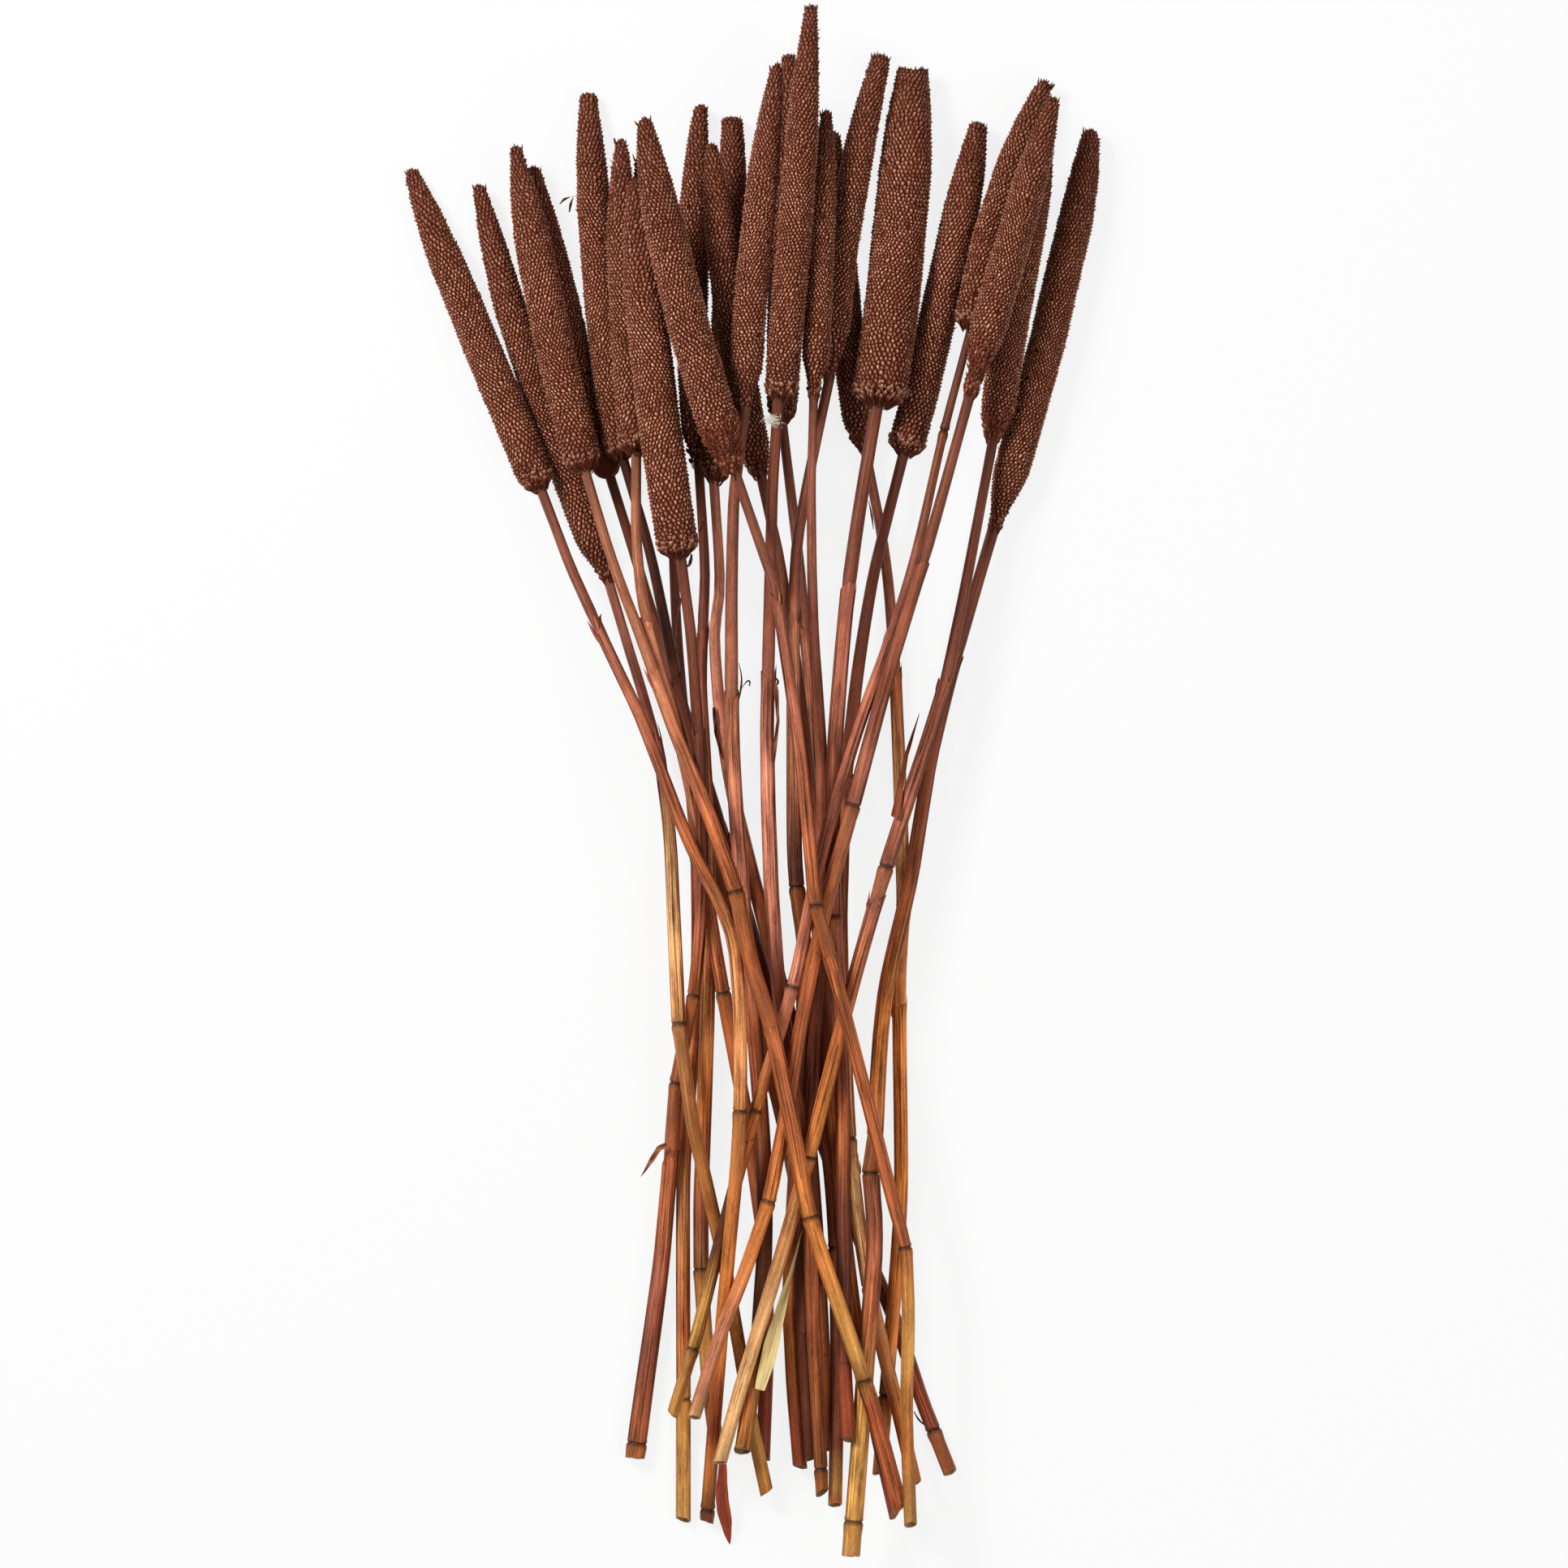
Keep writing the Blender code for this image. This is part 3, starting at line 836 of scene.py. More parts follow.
def draw_seeds(tree):
    place = add(tree, "TexCoord", out="Object")
    rise, tone, down, chaff = (attribute(tree, name) for name in ("rise", "tone", "down", "chaff"))
    patches = noise(tree, place, (90, 90, 90), 3) - 0.5
    bead = between(rise, 0.45, 0.9)
    # level is the place in that ramp: painted shade low between the seeds, a painted highlight at their tops.
    level = between(rise, -0.06, 0.95) * (0.97 + (tone - 0.5) * 0.55) + patches * 0.14
    seed = ramp(tree, level, GAP_SHADE_TO_HIGHLIGHT_TONES)
    seed = mixed(between(tone + patches * 1.6, 0.45, 1.1) * 0.35 * bead, seed, OCHRE)
    seed = mixed((1 - between(down, 0.0, 0.4)) * 0.62 * between(rise, 0.1, 0.5), seed, TIP_RED)
    # Low between the seeds at the neck: their dark red, with painted shade on it.
    seed = mixed(between(down, 0.86, 0.97) * (0.75 - bead * 0.65) * between(rise, 0.0, 0.3), seed, NECK_RED_AND_SHADE)
    seed = mixed(chaff * between(tone, 0.2, 0.9) * between(rise, 0.05, 0.3) * 0.65, seed, HUSK_TAN)
    return {"Base Color": seed}


SEEDS = material("millet seed", draw_seeds, Roughness=0.55, Specular_IOR_Level=0.08)

# %% Make the heads
heads = {number: make_head(number) for number in HEADS}
for number, head in heads.items():
    dress(head, SEEDS)
    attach(head, "root")
    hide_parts(f"seed_head_{number:02d}")
print("the heads have", triangles(heads.values()), "triangles")

# %% [markdown]
# ## Straw
#
# A millet stalk is a row of hollow tubes, one after another, with a dark, pinched joint where two meet. A
# leaf grows from each joint, and its lower part, the sheath, is rolled round the tube above. Dried, the
# sheaths go ribbed and split lengthwise, while bare stalk stays smooth and a little glossy. The low end
# was cut, and shows the tube's wall and its pale pith.
#
# It could be one tube with everything painted on. But the mouths and splits of the sheaths catch the
# light, so the stalk and each sheath get a shape of their own. All of it is made straight along the Z
# axis, patterns too, and bent at the end.

# %% Name the tones
TONES = {
    "fawn": (188, 117, 84),
    "mauve": (164, 95, 72),
    "brown": (135, 73, 52),
    "umber": (88, 45, 30),
    "red": (130, 58, 31),
    "rust": (170, 92, 52),
    "earth": (138, 79, 40),
    "ochre": (176, 109, 53),
    "orange": (202, 118, 54),
    "tan": (200, 133, 80),
    "straw": (226, 172, 114),
    "rose": (214, 132, 104),
    "gold": (196, 141, 72),
    "brick": (138, 62, 34),
    # The blush tone is paler than any straw here: painted light for stalk 12, where other pieces shade it.
    "blush": (242, 156, 124),
}

# %% Describe the stalks
class Stalk(NamedTuple):
    """One stalk; heights are above the low end of the bunch, in millimetres."""

    dyes: str  # its tones, each where it is purest
    joints: tuple = ()
    sheaths: tuple = ()  # the mouth and the foot of each
    slant: float = 0.45  # slope of the cut


# Stalks 8, 11, 12, 17 and 20 lie in the shade of other pieces, and some of their tones are paler than their
# straw: painted light that lifts that shade.
STALKS = {
    1: Stalk("mauve@400 rust@320 tan@230 orange@150 orange@90 brick@60 orange@35 umber@13",
             (202, 20), ((422, 202),)),
    2: Stalk("rose@420 brown@350 straw@300 tan@240 ochre@190 ochre@140 gold@60 ochre@30",
             (241,), ((375, 241),)),
    3: Stalk("fawn@400 rust@330 rust@200 orange@150 gold@90 brick@70 rust@15",
             (301, 154, 80), ((400, 301), (240, 154), (80, 0)), slant=0.5),
    4: Stalk("brown@400 brown@120 red@75 brown@55 rust@30", (56,), ((330, 56),)),
    5: Stalk("umber@400 brown@330 tan@210 orange@150 rust@50", (), ((400, 180),)),
    6: Stalk("fawn@410 rust@260 rust@190 red@70", (255,), ((425, 255),)),
    7: Stalk("brown@400 umber@345 brown@300 rust@250 brown@200 rust@160 brown@130 brown@90 rust@40",
             (254, 214, 50), ((374, 254), (183, 50)), slant=0.1),
    8: Stalk("brown@400 rust@250 tan@170 rust@100 gold@60 gold@15", (70,), ((320, 70),)),
    9: Stalk("mauve@400 rust@300 rust@150 gold@100 orange@50 gold@20", (295, 140), ((436, 295), (273, 140))),
    10: Stalk("brown@400 tan@260 orange@200 brown@150 gold@90", (129,), ((421, 129),)),
    11: Stalk("brown@420 rust@200 rust@120 red@40", (), ((350, 60),), slant=1.2),
    12: Stalk("blush@410 blush@350 rust@300 brown@240 rust@60", (), ((260, 90),)),
    13: Stalk("mauve@450 fawn@370 rose@310 rust@230 umber@170 umber@140 ochre@50",
              (47,), ((392, 47),), slant=0.4),
    14: Stalk("mauve@430 fawn@390 ochre@330 rust@250 brown@80 brown@48 gold@38 gold@28 rust@20",
              (217, 139), ((421, 217), (217, 139))),
    15: Stalk("brown@450 mauve@400 rose@350 rose@300 brown@250 rust@90 earth@10",
              (39,), ((400, 39),), slant=0.9),
    16: Stalk("mauve@450 brown@390 brown@300 brown@200 umber@50", (), ((300, 100),)),
    17: Stalk("mauve@440 rust@390 straw@330 tan@290 orange@250 orange@180 orange@100 gold@50",
              (293, 163, 72), ((403, 293), (250, 72))),
    18: Stalk("mauve@450 fawn@400 umber@300 rust@140 orange@115 brick@60 red@40", (303,), ((429, 303),)),
    19: Stalk("brown@450 mauve@400 brown@350 brown@240 rust@200 umber@160 umber@140 umber@100 "
              "brick@80 brick@55", (290,), ((440, 290), (250, 87))),
    20: Stalk("brown@400 rust@250 straw@160 tan@110 orange@60", (189, 122), ((355, 189), (180, 122))),
    21: Stalk("brown@500 mauve@450 brown@300 rose@260 orange@205 umber@165 umber@140 gold@110 gold@70",
              (509, 258, 202, 94), ((418, 258), (190, 94))),
    22: Stalk("brown@400 mauve@300 rust@250 orange@200 tan@150 straw@85 straw@50",
              (312, 181), ((396, 312), (300, 181)), slant=0.5),
    23: Stalk("brown@430 brown@390 mauve@340 rust@300 rust@200 orange@150 fawn@95 fawn@70 straw@36",
              (340, 161), ((450, 340), (274, 161)), slant=0.4),
    24: Stalk("brown@400 rust@290 orange@240 brown@150 rust@105 gold@65 gold@10",
              (173, 16), ((411, 190), (173, 16)), slant=0.1),
}

# %% [markdown]
# The stalk is turned like a chair leg: its outline is drawn as a line and swept round the Z axis by a Screw
# modifier. The outline swells and pinches at each joint. At the low end it turns back inside, which makes
# the hollow of the cut.

# %% Turn the stalk
CORE_SIDES = 14
RING_STEP = 9 * MM
NECK_RUN = 4 * MM  # how far the stalk runs up into its head
JOINT_SHAPE = (  # millimetres down from a joint, and added to the radius there
    (-4.0, 0.0), (-1.7, 0.3), (-0.8, 0.26), (-0.5, -0.16), (0.3, -0.16), (0.6, 0.2), (2.0, 0.34), (6.0, 0.0))
SHEATH_ROOM = 0.4 * MM  # how much thinner a stalk is inside a sheath
SHEATH_EASE = 3 * MM  # how far from the ends of the sheath that sets in
CUP = 4 * MM  # depth of the hollow at the cut
WALL = 0.3  # the tube's wall there, as a share of its radius
LEAST_STEP = 0.2 * MM
CREASE = 50  # edges that turn by more degrees than this look sharp
RIBBING = 0.016  # how far ribs stand out, as a share of the radius
RIB_SHARES = ((2, 1.6), (3, 1.0), (5, 0.8), (7, 0.6))  # ribs round a stalk, and their share of that
HEEL, HEEL_RUN = 0.28, 3 * MM  # how much wider a stalk is right under its head, and how far down
SLIM, SLIM_RUN = 0.16, 45 * MM  # how much thinner it is under that, and how far down


def turned(name, outline, sides):
    """Sweeps an outline of radii and heights round the Z axis."""
    points = [(radius, 0, height) for radius, height in outline]
    piece = mesh_object(name, points, edges=[(i, i + 1) for i in range(len(points) - 1)])
    apply_modifier(piece, "SCREW", steps=sides, render_steps=sides, use_merge_vertices=True,
                   merge_threshold=NEAR)
    face_outwards(piece, merging=True)
    return piece


def core_outline(route, joints, sheaths):
    """Distances down a stalk and its radius there, swollen at joints and thinner inside sheaths."""
    shape = np.array(JOINT_SHAPE) * MM
    places = [joint + place for joint in joints for place in shape[:, 0]]
    places = np.sort([*np.arange(-NECK_RUN, route.length, RING_STEP), *places, route.length])
    places = places[(places >= -NECK_RUN) & (places <= route.length)]
    down = places[np.append(True, np.diff(places) > LEAST_STEP)]
    thin = 1 - SLIM * np.exp(-np.abs(down) / SLIM_RUN)
    radius = route.radius(down) * thin * (1 + HEEL * np.exp(-np.abs(down) / HEEL_RUN))
    for mouth, foot in sheaths:
        radius -= SHEATH_ROOM * even(down - mouth, 0, SHEATH_EASE) * even(foot - down, 0, SHEATH_EASE)
    for joint in joints:
        radius += np.interp(down - joint, *shape.T)
    return down, radius


def ribs(angles, down, depth, chance):
    """Factors on the radius for the flats and ribs round a stalk, which wander slowly down it."""
    factor = np.ones(len(angles))
    for count, share in RIB_SHARES:
        turn, drift = chance.uniform(0, TURN), chance.normal(0, 3)
        factor += depth * share * np.cos(count * angles + turn + drift * down)
    return factor


def core(route, stalk, joints, sheaths, chance):
    """The bare stalk, with its cut end turned in."""
    down, radius = core_outline(route, joints, sheaths)
    inner, end = radius[-1] * (1 - WALL), down[-1]
    outline = [(0, down[0]), *zip(radius, down), (inner, end), (inner, end - CUP), (0, end - CUP)]
    piece = turned("core", outline, CORE_SIDES)
    places = points_of(piece.data)
    across, height = np.hypot(places[:, 0], places[:, 1]), places[:, 2].copy()
    angles = np.arctan2(places[:, 1], places[:, 0])
    places[:, :2] *= ribs(angles, height, RIBBING, chance)[:, None]
    low = even(height, route.length - CUP, route.length)
    aim = -math.pi / 2 + chance.normal(0, 0.9)  # the cut faces up more than down
    ragged = 0.12 * MM * chance.standard_normal(len(low))
    places[:, 2] += low * (stalk.slant * across * np.cos(angles - aim) + ragged)
    move_points(piece.data, places)
    hollow = (across < radius[-1] * (1 - WALL / 2)) & (height > route.length - CUP - LEAST_STEP)
    note(piece.data, "pith", hollow)
    return piece


# %% [markdown]
# A sheath is a grid of faces rolled into a tube that overlaps itself a little. Its mouth is oblique and
# ragged. Columns of faces that are made narrow and taken out leave slits through which the stalk shows. A
# few pointed slivers stand up from the torn edge.

# %% Roll the sheaths
SHEATH_COLUMNS = 15
SHEATH_WRAP = 1.05  # turns
SHEATH_THICK = 0.22 * MM
SHEATH_FOOT = 0.8 * MM  # how far above its joint a sheath ends
OVERLAP = 0.3 * MM  # how far the outer edge stands over the inner one
FLARE, FLARE_RUN = 0.35 * MM, 5 * MM  # how far the mouth stands open, and how far down
SHEATH_RIBBING = 1.3 * RIBBING
SLITS, SLIT_WIDTH = 2, 0.25  # that width is beside the other columns


def column_edges(slits):
    """Where the columns of a sheath begin and end across it, from 0 to 1."""
    widths = np.where(np.isin(np.arange(SHEATH_COLUMNS), slits), SLIT_WIDTH, 1.0)
    return np.append(0, np.cumsum(widths)) / widths.sum()


def take_out(mesh, marked):
    """Deletes the faces that are marked True."""
    draft = bmesh.new()
    draft.from_mesh(mesh)
    bmesh.ops.delete(draft, geom=[face for face in draft.faces if marked[face.index]], context="FACES")
    draft.to_mesh(mesh)
    draft.free()


def sheath(route, mouth, foot, seam, chance):
    """One rolled sheath from its mouth down to its foot, with its edges at the seam."""
    rows = max(3, round((foot - mouth) / RING_STEP))
    piece = flat_grid(SHEATH_COLUMNS, rows, 1)
    slits = chance.choice(np.arange(3, SHEATH_COLUMNS - 3), SLITS, replace=False)
    across, down, _ = numbers(piece.data.polygons, "center", 3).T + 0.5  # from 0 to 1
    opened = np.zeros(len(down), bool)
    for slit in slits:
        start, run = chance.uniform(-0.15, 0.7), chance.uniform(0.15, 0.5)
        opened |= (down > start) & (down < start + run) & ((across * SHEATH_COLUMNS).astype(int) == slit)
    take_out(piece.data, opened)
    roll(piece.data, route, mouth, foot, seam, column_edges(slits), chance)
    apply_modifier(piece, "SOLIDIFY", thickness=SHEATH_THICK, offset=0)
    face_outwards(piece)
    return piece


def roll(mesh, route, mouth, foot, seam, edges, chance):
    """Rolls a flat grid, one unit each way, round the Z axis."""
    places = points_of(mesh) + 0.5
    column = np.rint(places[:, 0] * SHEATH_COLUMNS).astype(int)
    across, share = edges[column], places[:, 1]
    dip = chance.uniform(3, 9) * MM * (1 - np.sin(across * math.pi))
    ragged = chance.normal(0, 0.5, SHEATH_COLUMNS + 1)[column] * MM
    down = mouth + dip + ragged + share * (foot - mouth - dip - ragged)
    angles = seam + across * SHEATH_WRAP * TURN
    radius = route.radius(down) - SHEATH_THICK / 2 + OVERLAP * (across - 0.3)
    radius += FLARE * np.exp(-(down - mouth) / FLARE_RUN)
    radius *= ribs(angles, down, SHEATH_RIBBING, chance)
    move_points(mesh, ring_of(angles, radius, down))


# %% Tear the mouths
TATTERS = (3, 7)  # from three to six at a mouth


def tatters(route, mouth, chance):
    """Pointed slivers that stand up and out from the torn mouth of a sheath."""
    count = chance.integers(*TATTERS)
    angles = chance.uniform(0, TURN, count)
    around = route.radius(mouth)
    feet = ring_of(angles, around, mouth + chance.uniform(4, 9, count) * MM)
    out = around + chance.uniform(0.2, 1.1, count) * MM
    tips = ring_of(angles + chance.normal(0, 0.15, count), out, mouth - chance.uniform(-3, 4, count) * MM)
    return plant(PLANT_HUSKS, [(feet, tips, chance.uniform(0.3, 0.7, count) * MM)], np.zeros)


# %% [markdown]
# The dye goes on as a colour for each point: a few tones down the stalk, brighter just below a joint and
# sooty round it. The material then adds the streaks and splits, which are too fine for the mesh, with a
# painted sheen along the streaks and painted shade in the splits.

# %% Dye the straw
FRESH, FRESH_RUN = 0.3, 24 * MM  # how much brighter straw is right below a joint, and how far down
SOOT, SOOT_RUN = 0.35, 3 * MM  # how much darker it is beside a joint, and how far from it
BRIGHT = np.array(linear(*TONES["orange"]))
UNDER_HEAD = 0.5  # how much darker a stalk is right under its head
JOINT_LINE = (0.5 * MM, 1.3 * MM)  # the dark line of a joint fades out between these distances from it


def dye(piece, route, stalk, joints, wrapped, chance):
    """Notes the colour of each point, its place before bending, and how near it is to a joint."""
    places = points_of(piece.data)
    down = places[:, 2]
    dyes = [dyed.split("@") for dyed in stalk.dyes.split()]
    tones = np.array([linear(*TONES[name]) for name, _ in dyes])
    purest = [route.down_at(float(height) * MM) for _, height in dyes]
    colour = np.column_stack([np.interp(down, purest, channel) for channel in tones.T])
    near = np.zeros(len(down))
    for joint in joints:
        below = down - joint
        fresh = FRESH * np.exp(-np.clip(below, 0, None) / FRESH_RUN) * (below > 0) * (not wrapped)
        colour += (BRIGHT - colour) * fresh[:, None]
        colour[:, :3] *= (1 - SOOT * np.exp(-np.abs(below) / SOOT_RUN))[:, None]
        near = np.maximum(near, 1 - even(np.abs(below), *JOINT_LINE))
    colour[:, :3] *= (1 - UNDER_HEAD * np.exp(-np.abs(down) / SLIM_RUN))[:, None]
    swell = 1 + 0.1 * np.sin(down * chance.uniform(20, 50) + chance.uniform(0, TURN))
    colour[:, :3] *= (swell * chance.uniform(0.9, 1.1))[:, None]
    note(piece.data, "dye", colour, "FLOAT_COLOR")
    note(piece.data, "grown", places, "FLOAT_VECTOR")
    note(piece.data, "ring", near * (not wrapped))
    note(piece.data, "wrap", np.full(len(down), float(wrapped)))
    return piece


def make_stalk(number):
    stalk, route = STALKS[number], Route(f"stalk_{number:02d}")
    chance = np.random.default_rng(100 + number)
    joints = [route.down_at(y * MM) for y in stalk.joints]
    sheaths = [[route.down_at(y * MM) for y in ends] for ends in stalk.sheaths]
    sheaths = [(mouth, min(foot, route.length - MM)) for mouth, foot in sheaths]
    parts = [dye(core(route, stalk, joints, sheaths, chance), route, stalk, joints, False, chance)]
    for mouth, foot in sheaths:
        rolled = sheath(route, mouth, foot - SHEATH_FOOT, chance.uniform(0, TURN), chance)
        parts.append(dye(rolled, route, stalk, joints, True, chance))
        parts.append(dye(tatters(route, mouth, chance), route, stalk, joints, True, chance))
    piece = joined(f"millet_stalk_{number:02d}", *parts)
    select_only(piece)
    bpy.ops.object.shade_smooth_by_angle(angle=math.radians(CREASE))
    bend_along(piece, route)
    return piece


# %% Grain the straw
JOINT_SHADE = 0.26  # how dark a joint is beside the straw round it
PITH = linear(176, 134, 92)[:3]
BLOTCH = linear(124, 56, 30)
# Golden streaks are partly paler fibres and partly a painted sheen in place of gloss.
GOLDEN_SHEEN = (1.7, 1.85, 1.8)  # how much brighter each channel of the dye is in a golden streak


def draw_straw(tree):
    grown, colour = attribute(tree, "grown", "Vector"), attribute(tree, "dye", "Color")
    ring, wrap, pith = (attribute(tree, name) for name in ("ring", "wrap", "pith"))

    def streaks(across, along, detail):
        return noise(tree, grown, (across, across, along), detail)

    fibres, bands, runs = streaks(2600, 24, 5), streaks(420, 12, 3), streaks(320, 14, 1)
    blotches, mottle, patches = streaks(200, 60, 4), streaks(1300, 500, 3), streaks(240, 34, 2)
    # The golden streaks: paler fibres, with a painted sheen on them.
    golden_sheen_streaks = between(streaks(900, 16, 4), 0.52, 0.62)
    # Splits are dark lines: painted shade in the cracks, which the bump also sinks.
    split = between(streaks(1500, 18, 3), 0.61, 0.66) * between(runs, 0.42, 0.55)
    specks = between(streaks(1500, 600, 1), 0.73, 0.8)
    # The streak brightness is the straw's grain, pushed brighter and darker as a painted sheen.
    grain_and_sheen = 1.05 + (fibres - 0.5) * (1.4 + wrap * 2.6) + (bands - 0.5) * (1.7 + wrap * 1.6)
    grain_and_sheen = grain_and_sheen + (mottle - 0.5) * 0.9 + (patches - 0.5) * 1.8
    # Here the splits darken the straw as painted shade.
    grain_and_sheen = grain_and_sheen * (1 - split * (0.35 + wrap * 0.4)) * (1 - specks * 0.4)
    # A brighter copy of the dye: painted sheen on the golden streaks.
    sheen_lit_dye = add(tree, "VectorMath", {"operation": "MULTIPLY"}, {0: colour, 1: GOLDEN_SHEEN})
    body = mixed(golden_sheen_streaks * (0.35 + wrap * 0.45), colour, sheen_lit_dye)
    body = mixed(between(blotches, 0.5, 0.66) * 0.5, body, BLOTCH)
    body = scaled(tree, body, grain_and_sheen)
    body = mixed(pith * 0.9, body, scaled(tree, PITH, 0.4 + fibres * 0.8))
    return {
        "Base Color": mixed(ring * 0.9, body, scaled(tree, body, JOINT_SHADE)),
        "Roughness": 0.42 + wrap * 0.16 + fibres * 0.12 + pith * 0.2,
        "Normal": bumped(tree, fibres * 0.5 + bands * 0.4 - split * 0.8, 0.25 * MM),
    }


STRAW = material("dry straw", draw_straw, Specular_IOR_Level=0.2)

# %% Make the stalks
stalks = {number: make_stalk(number) for number in STALKS}
for number, piece in stalks.items():
    dress(piece, STRAW)
    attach(piece, "root")
    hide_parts(f"stalk_{number:02d}")
print("the stalks have", triangles(stalks.values()), "triangles")

# %% [markdown]
# ## Leaf remnants
#
# A few leaves were not stripped off cleanly. One pale blade and one rust-red blade lie among the stalks, a
# pointed tip stands at the right, and three dark scraps of sheath curl by the joints. Dry leaves fold along
# the midrib, curl at the edges and cockle.
#
# Each is a flat grid that is drawn in to the outline of the leaf and curled across; Solidify makes it a
# leaf's thickness, and then it is bent along its route. The outline is a few widths, from the end nearest
# the heads to the other. A blade may run on past its tube, stop short of it, and lift or sink at its ends.

# %% Name the leaves
class Leaf(NamedTuple):
    """A leaf remnant; the outline gives half its width in millimetres at shares of its length."""

    slot: str
    tone: tuple
    vein: tuple
    outline: tuple
    fold: float = 0.3  # how steeply the halves rise from the midrib, in radians
    curl: float = 0.5  # how much more they turn up towards their edges
    cockle: float = 0.4  # how deep its waves are, in millimetres
    lift: tuple = (0.0, 0.0)  # how far its two ends are raised above its tube's, in millimetres
    reach: float = 0.0  # how far it runs on past the first end, in millimetres
    stop: float = 1.0  # where its other end is, as a share of the length of its tube


LEAVES = {
    "leaf_blade_cream": Leaf(
        "leaf_cream", (250, 224, 158), (204, 164, 96),
        ((0, 0.1), (0.3, 1.0), (0.42, 1.9), (0.58, 2.8), (0.72, 3.7), (0.87, 3.5), (1, 2.4)),
        fold=0.15, curl=0.2, lift=(12, 0), reach=22),
    "leaf_blade_rust": Leaf(
        "leaf_rust", (168, 74, 44), (96, 36, 22),
        ((0, 1.4), (0.2, 2.2), (0.45, 3.1), (0.62, 3.3), (0.76, 2.8), (0.88, 1.8), (0.95, 0.9), (1, 0.1)),
        fold=0.15, curl=0.2, cockle=0.2, lift=(-18, 1.6), stop=0.885),
    "leaf_tip_right": Leaf(
        "leaf_rust", (172, 92, 56), (104, 48, 30),
        ((0, 0.1), (0.3, 1.0), (0.7, 1.8), (1, 2.4)),
        curl=0.4, cockle=0.2, lift=(16, 0)),
    "sheath_strip_middle": Leaf(
        "leaf_dark", (160, 98, 64), (86, 44, 28),
        ((0, 0.6), (0.1, 1.5), (0.4, 1.0), (0.85, 1.1), (1, 0.8))),
    "sheath_strip_left": Leaf(
        "leaf_dark", (96, 50, 34), (52, 24, 16),
        ((0, 1.0), (0.3, 1.2), (0.7, 0.9), (1, 0.2))),
    "sheath_curl_left": Leaf(
        "leaf_dark", (176, 108, 72), (104, 58, 38),
        ((0, 1.5), (0.5, 1.4), (0.7, 0.9), (1, 0.1)),
        fold=0.2, curl=0.4, lift=(0, 11)),
}
LEAF_COLUMNS, LEAF_ROWS = 10, 36
LEAF_THICK = 0.25 * MM
LEAF_FRAY = 0.6 * MM  # how uneven the end nearest the heads is
EDGE_RIPPLE = 0.04  # how much the width comes and goes, as a share of it


# %% Cut, curl and bend a leaf
def leaf_route(node, leaf):
    """The middle line of a leaf's tube, run on past its first end and raised or sunk at its ends."""
    route = Route(node)
    if leaf.reach:
        way = route.points[0] - route.points[4]
        beyond = route.points[0] + way / np.linalg.norm(way) * leaf.reach * MM
        route.points = np.vstack([beyond, route.points])
        route.measure()
    route.points[:, 2] += np.interp(route.down / route.length, (0, 1), leaf.lift) * MM
    return route


def make_leaf(node, leaf):
    route, chance = leaf_route(node, leaf), np.random.default_rng(sum(node.encode()))
    piece = flat_grid(LEAF_COLUMNS, LEAF_ROWS, 2)
    piece.name = piece.data.name = "dry_" + node
    places = points_of(piece.data)
    across, share = places[:, 0], (places[:, 1] + 1) / 2
    half = np.interp(share, *zip(*leaf.outline)) * MM
    half *= 1 + EDGE_RIPPLE * np.sin(share * 23 + across * 2 + chance.uniform(0, 6))
    turn = leaf.fold + leaf.curl * np.abs(across)
    wave = np.sin(share * 17 + across * 2.5 + chance.uniform(0, 6)) * np.minimum(1, half / MM)
    rise = half * np.abs(across) * np.sin(turn) + leaf.cockle * MM * wave
    fray = LEAF_FRAY * chance.standard_normal(len(share)) * (share == 0)
    down = share * route.length * leaf.stop + fray
    note(piece.data, "across", across)
    note(piece.data, "grown", np.column_stack([across * half, rise, down]), "FLOAT_VECTOR")
    move_points(piece.data, np.column_stack([half * across * np.cos(turn), rise, down]))
    apply_modifier(piece, "SOLIDIFY", thickness=LEAF_THICK, offset=0)
    apply_modifier(piece, "SUBSURF", levels=1, render_levels=1)
    face_outwards(piece)
    piece.data.shade_smooth()
    bend_along(piece, route)
    return piece


# %% Finish the leaves
def leaf_finish(leaf):
    """The draw function of a leaf's own material: its tone, with darker veins and midrib."""
    def draw(tree):
        grown, across = attribute(tree, "grown", "Vector"), attribute(tree, "across")
        veins = noise(tree, grown, (2600, 900, 20), 3)
        stains = noise(tree, grown, (260, 260, 90), 4)
        midrib = 1 - between(across * across, 0.0, 0.05)
        colour = mixed(between(veins, 0.48, 0.66) * 0.7, linear(*leaf.tone), linear(*leaf.vein))
        colour = mixed(midrib * 0.4, colour, linear(*leaf.vein))
        return {
            "Base Color": scaled(tree, colour, 0.55 + stains * 0.9),
            "Roughness": 0.5 + veins * 0.2,
            "Normal": bumped(tree, veins + midrib * 0.6, 0.2 * MM),
        }
    return draw


for node, leaf in LEAVES.items():
    blade = make_leaf(node, leaf)
    dress(blade, material(node, leaf_finish(leaf), Specular_IOR_Level=0.25))
    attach(blade, "root")
    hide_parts(node)
print("the leaf remnants are", [round(Route(node).length / MM) for node in LEAVES], "mm long")

# %% [markdown]
# ## Scraps and fluff
#
# What is left clings to the bunch: a forked scrap at the mouth of a sheath, splinters of dark husk, an
# empty spikelet that hangs from a thread, and a tuft of white fluff under one head. Each scrap is a line of
# a few points at the height of what it clings to, with a thickness that falls to nothing at its end.

# %% Lay the scraps
PLAN_X = 5 * MM  # x in the plan is counted from a line this far right of the middle of the bunch


class Scrap(NamedTuple):
    """A thin scrap; its points are (x, y) in the plan, in millimetres."""

    on: str  # the piece that it clings to
    points: tuple
    half: float  # its half width in millimetres
    fat: float = 0.0  # where along it that width is


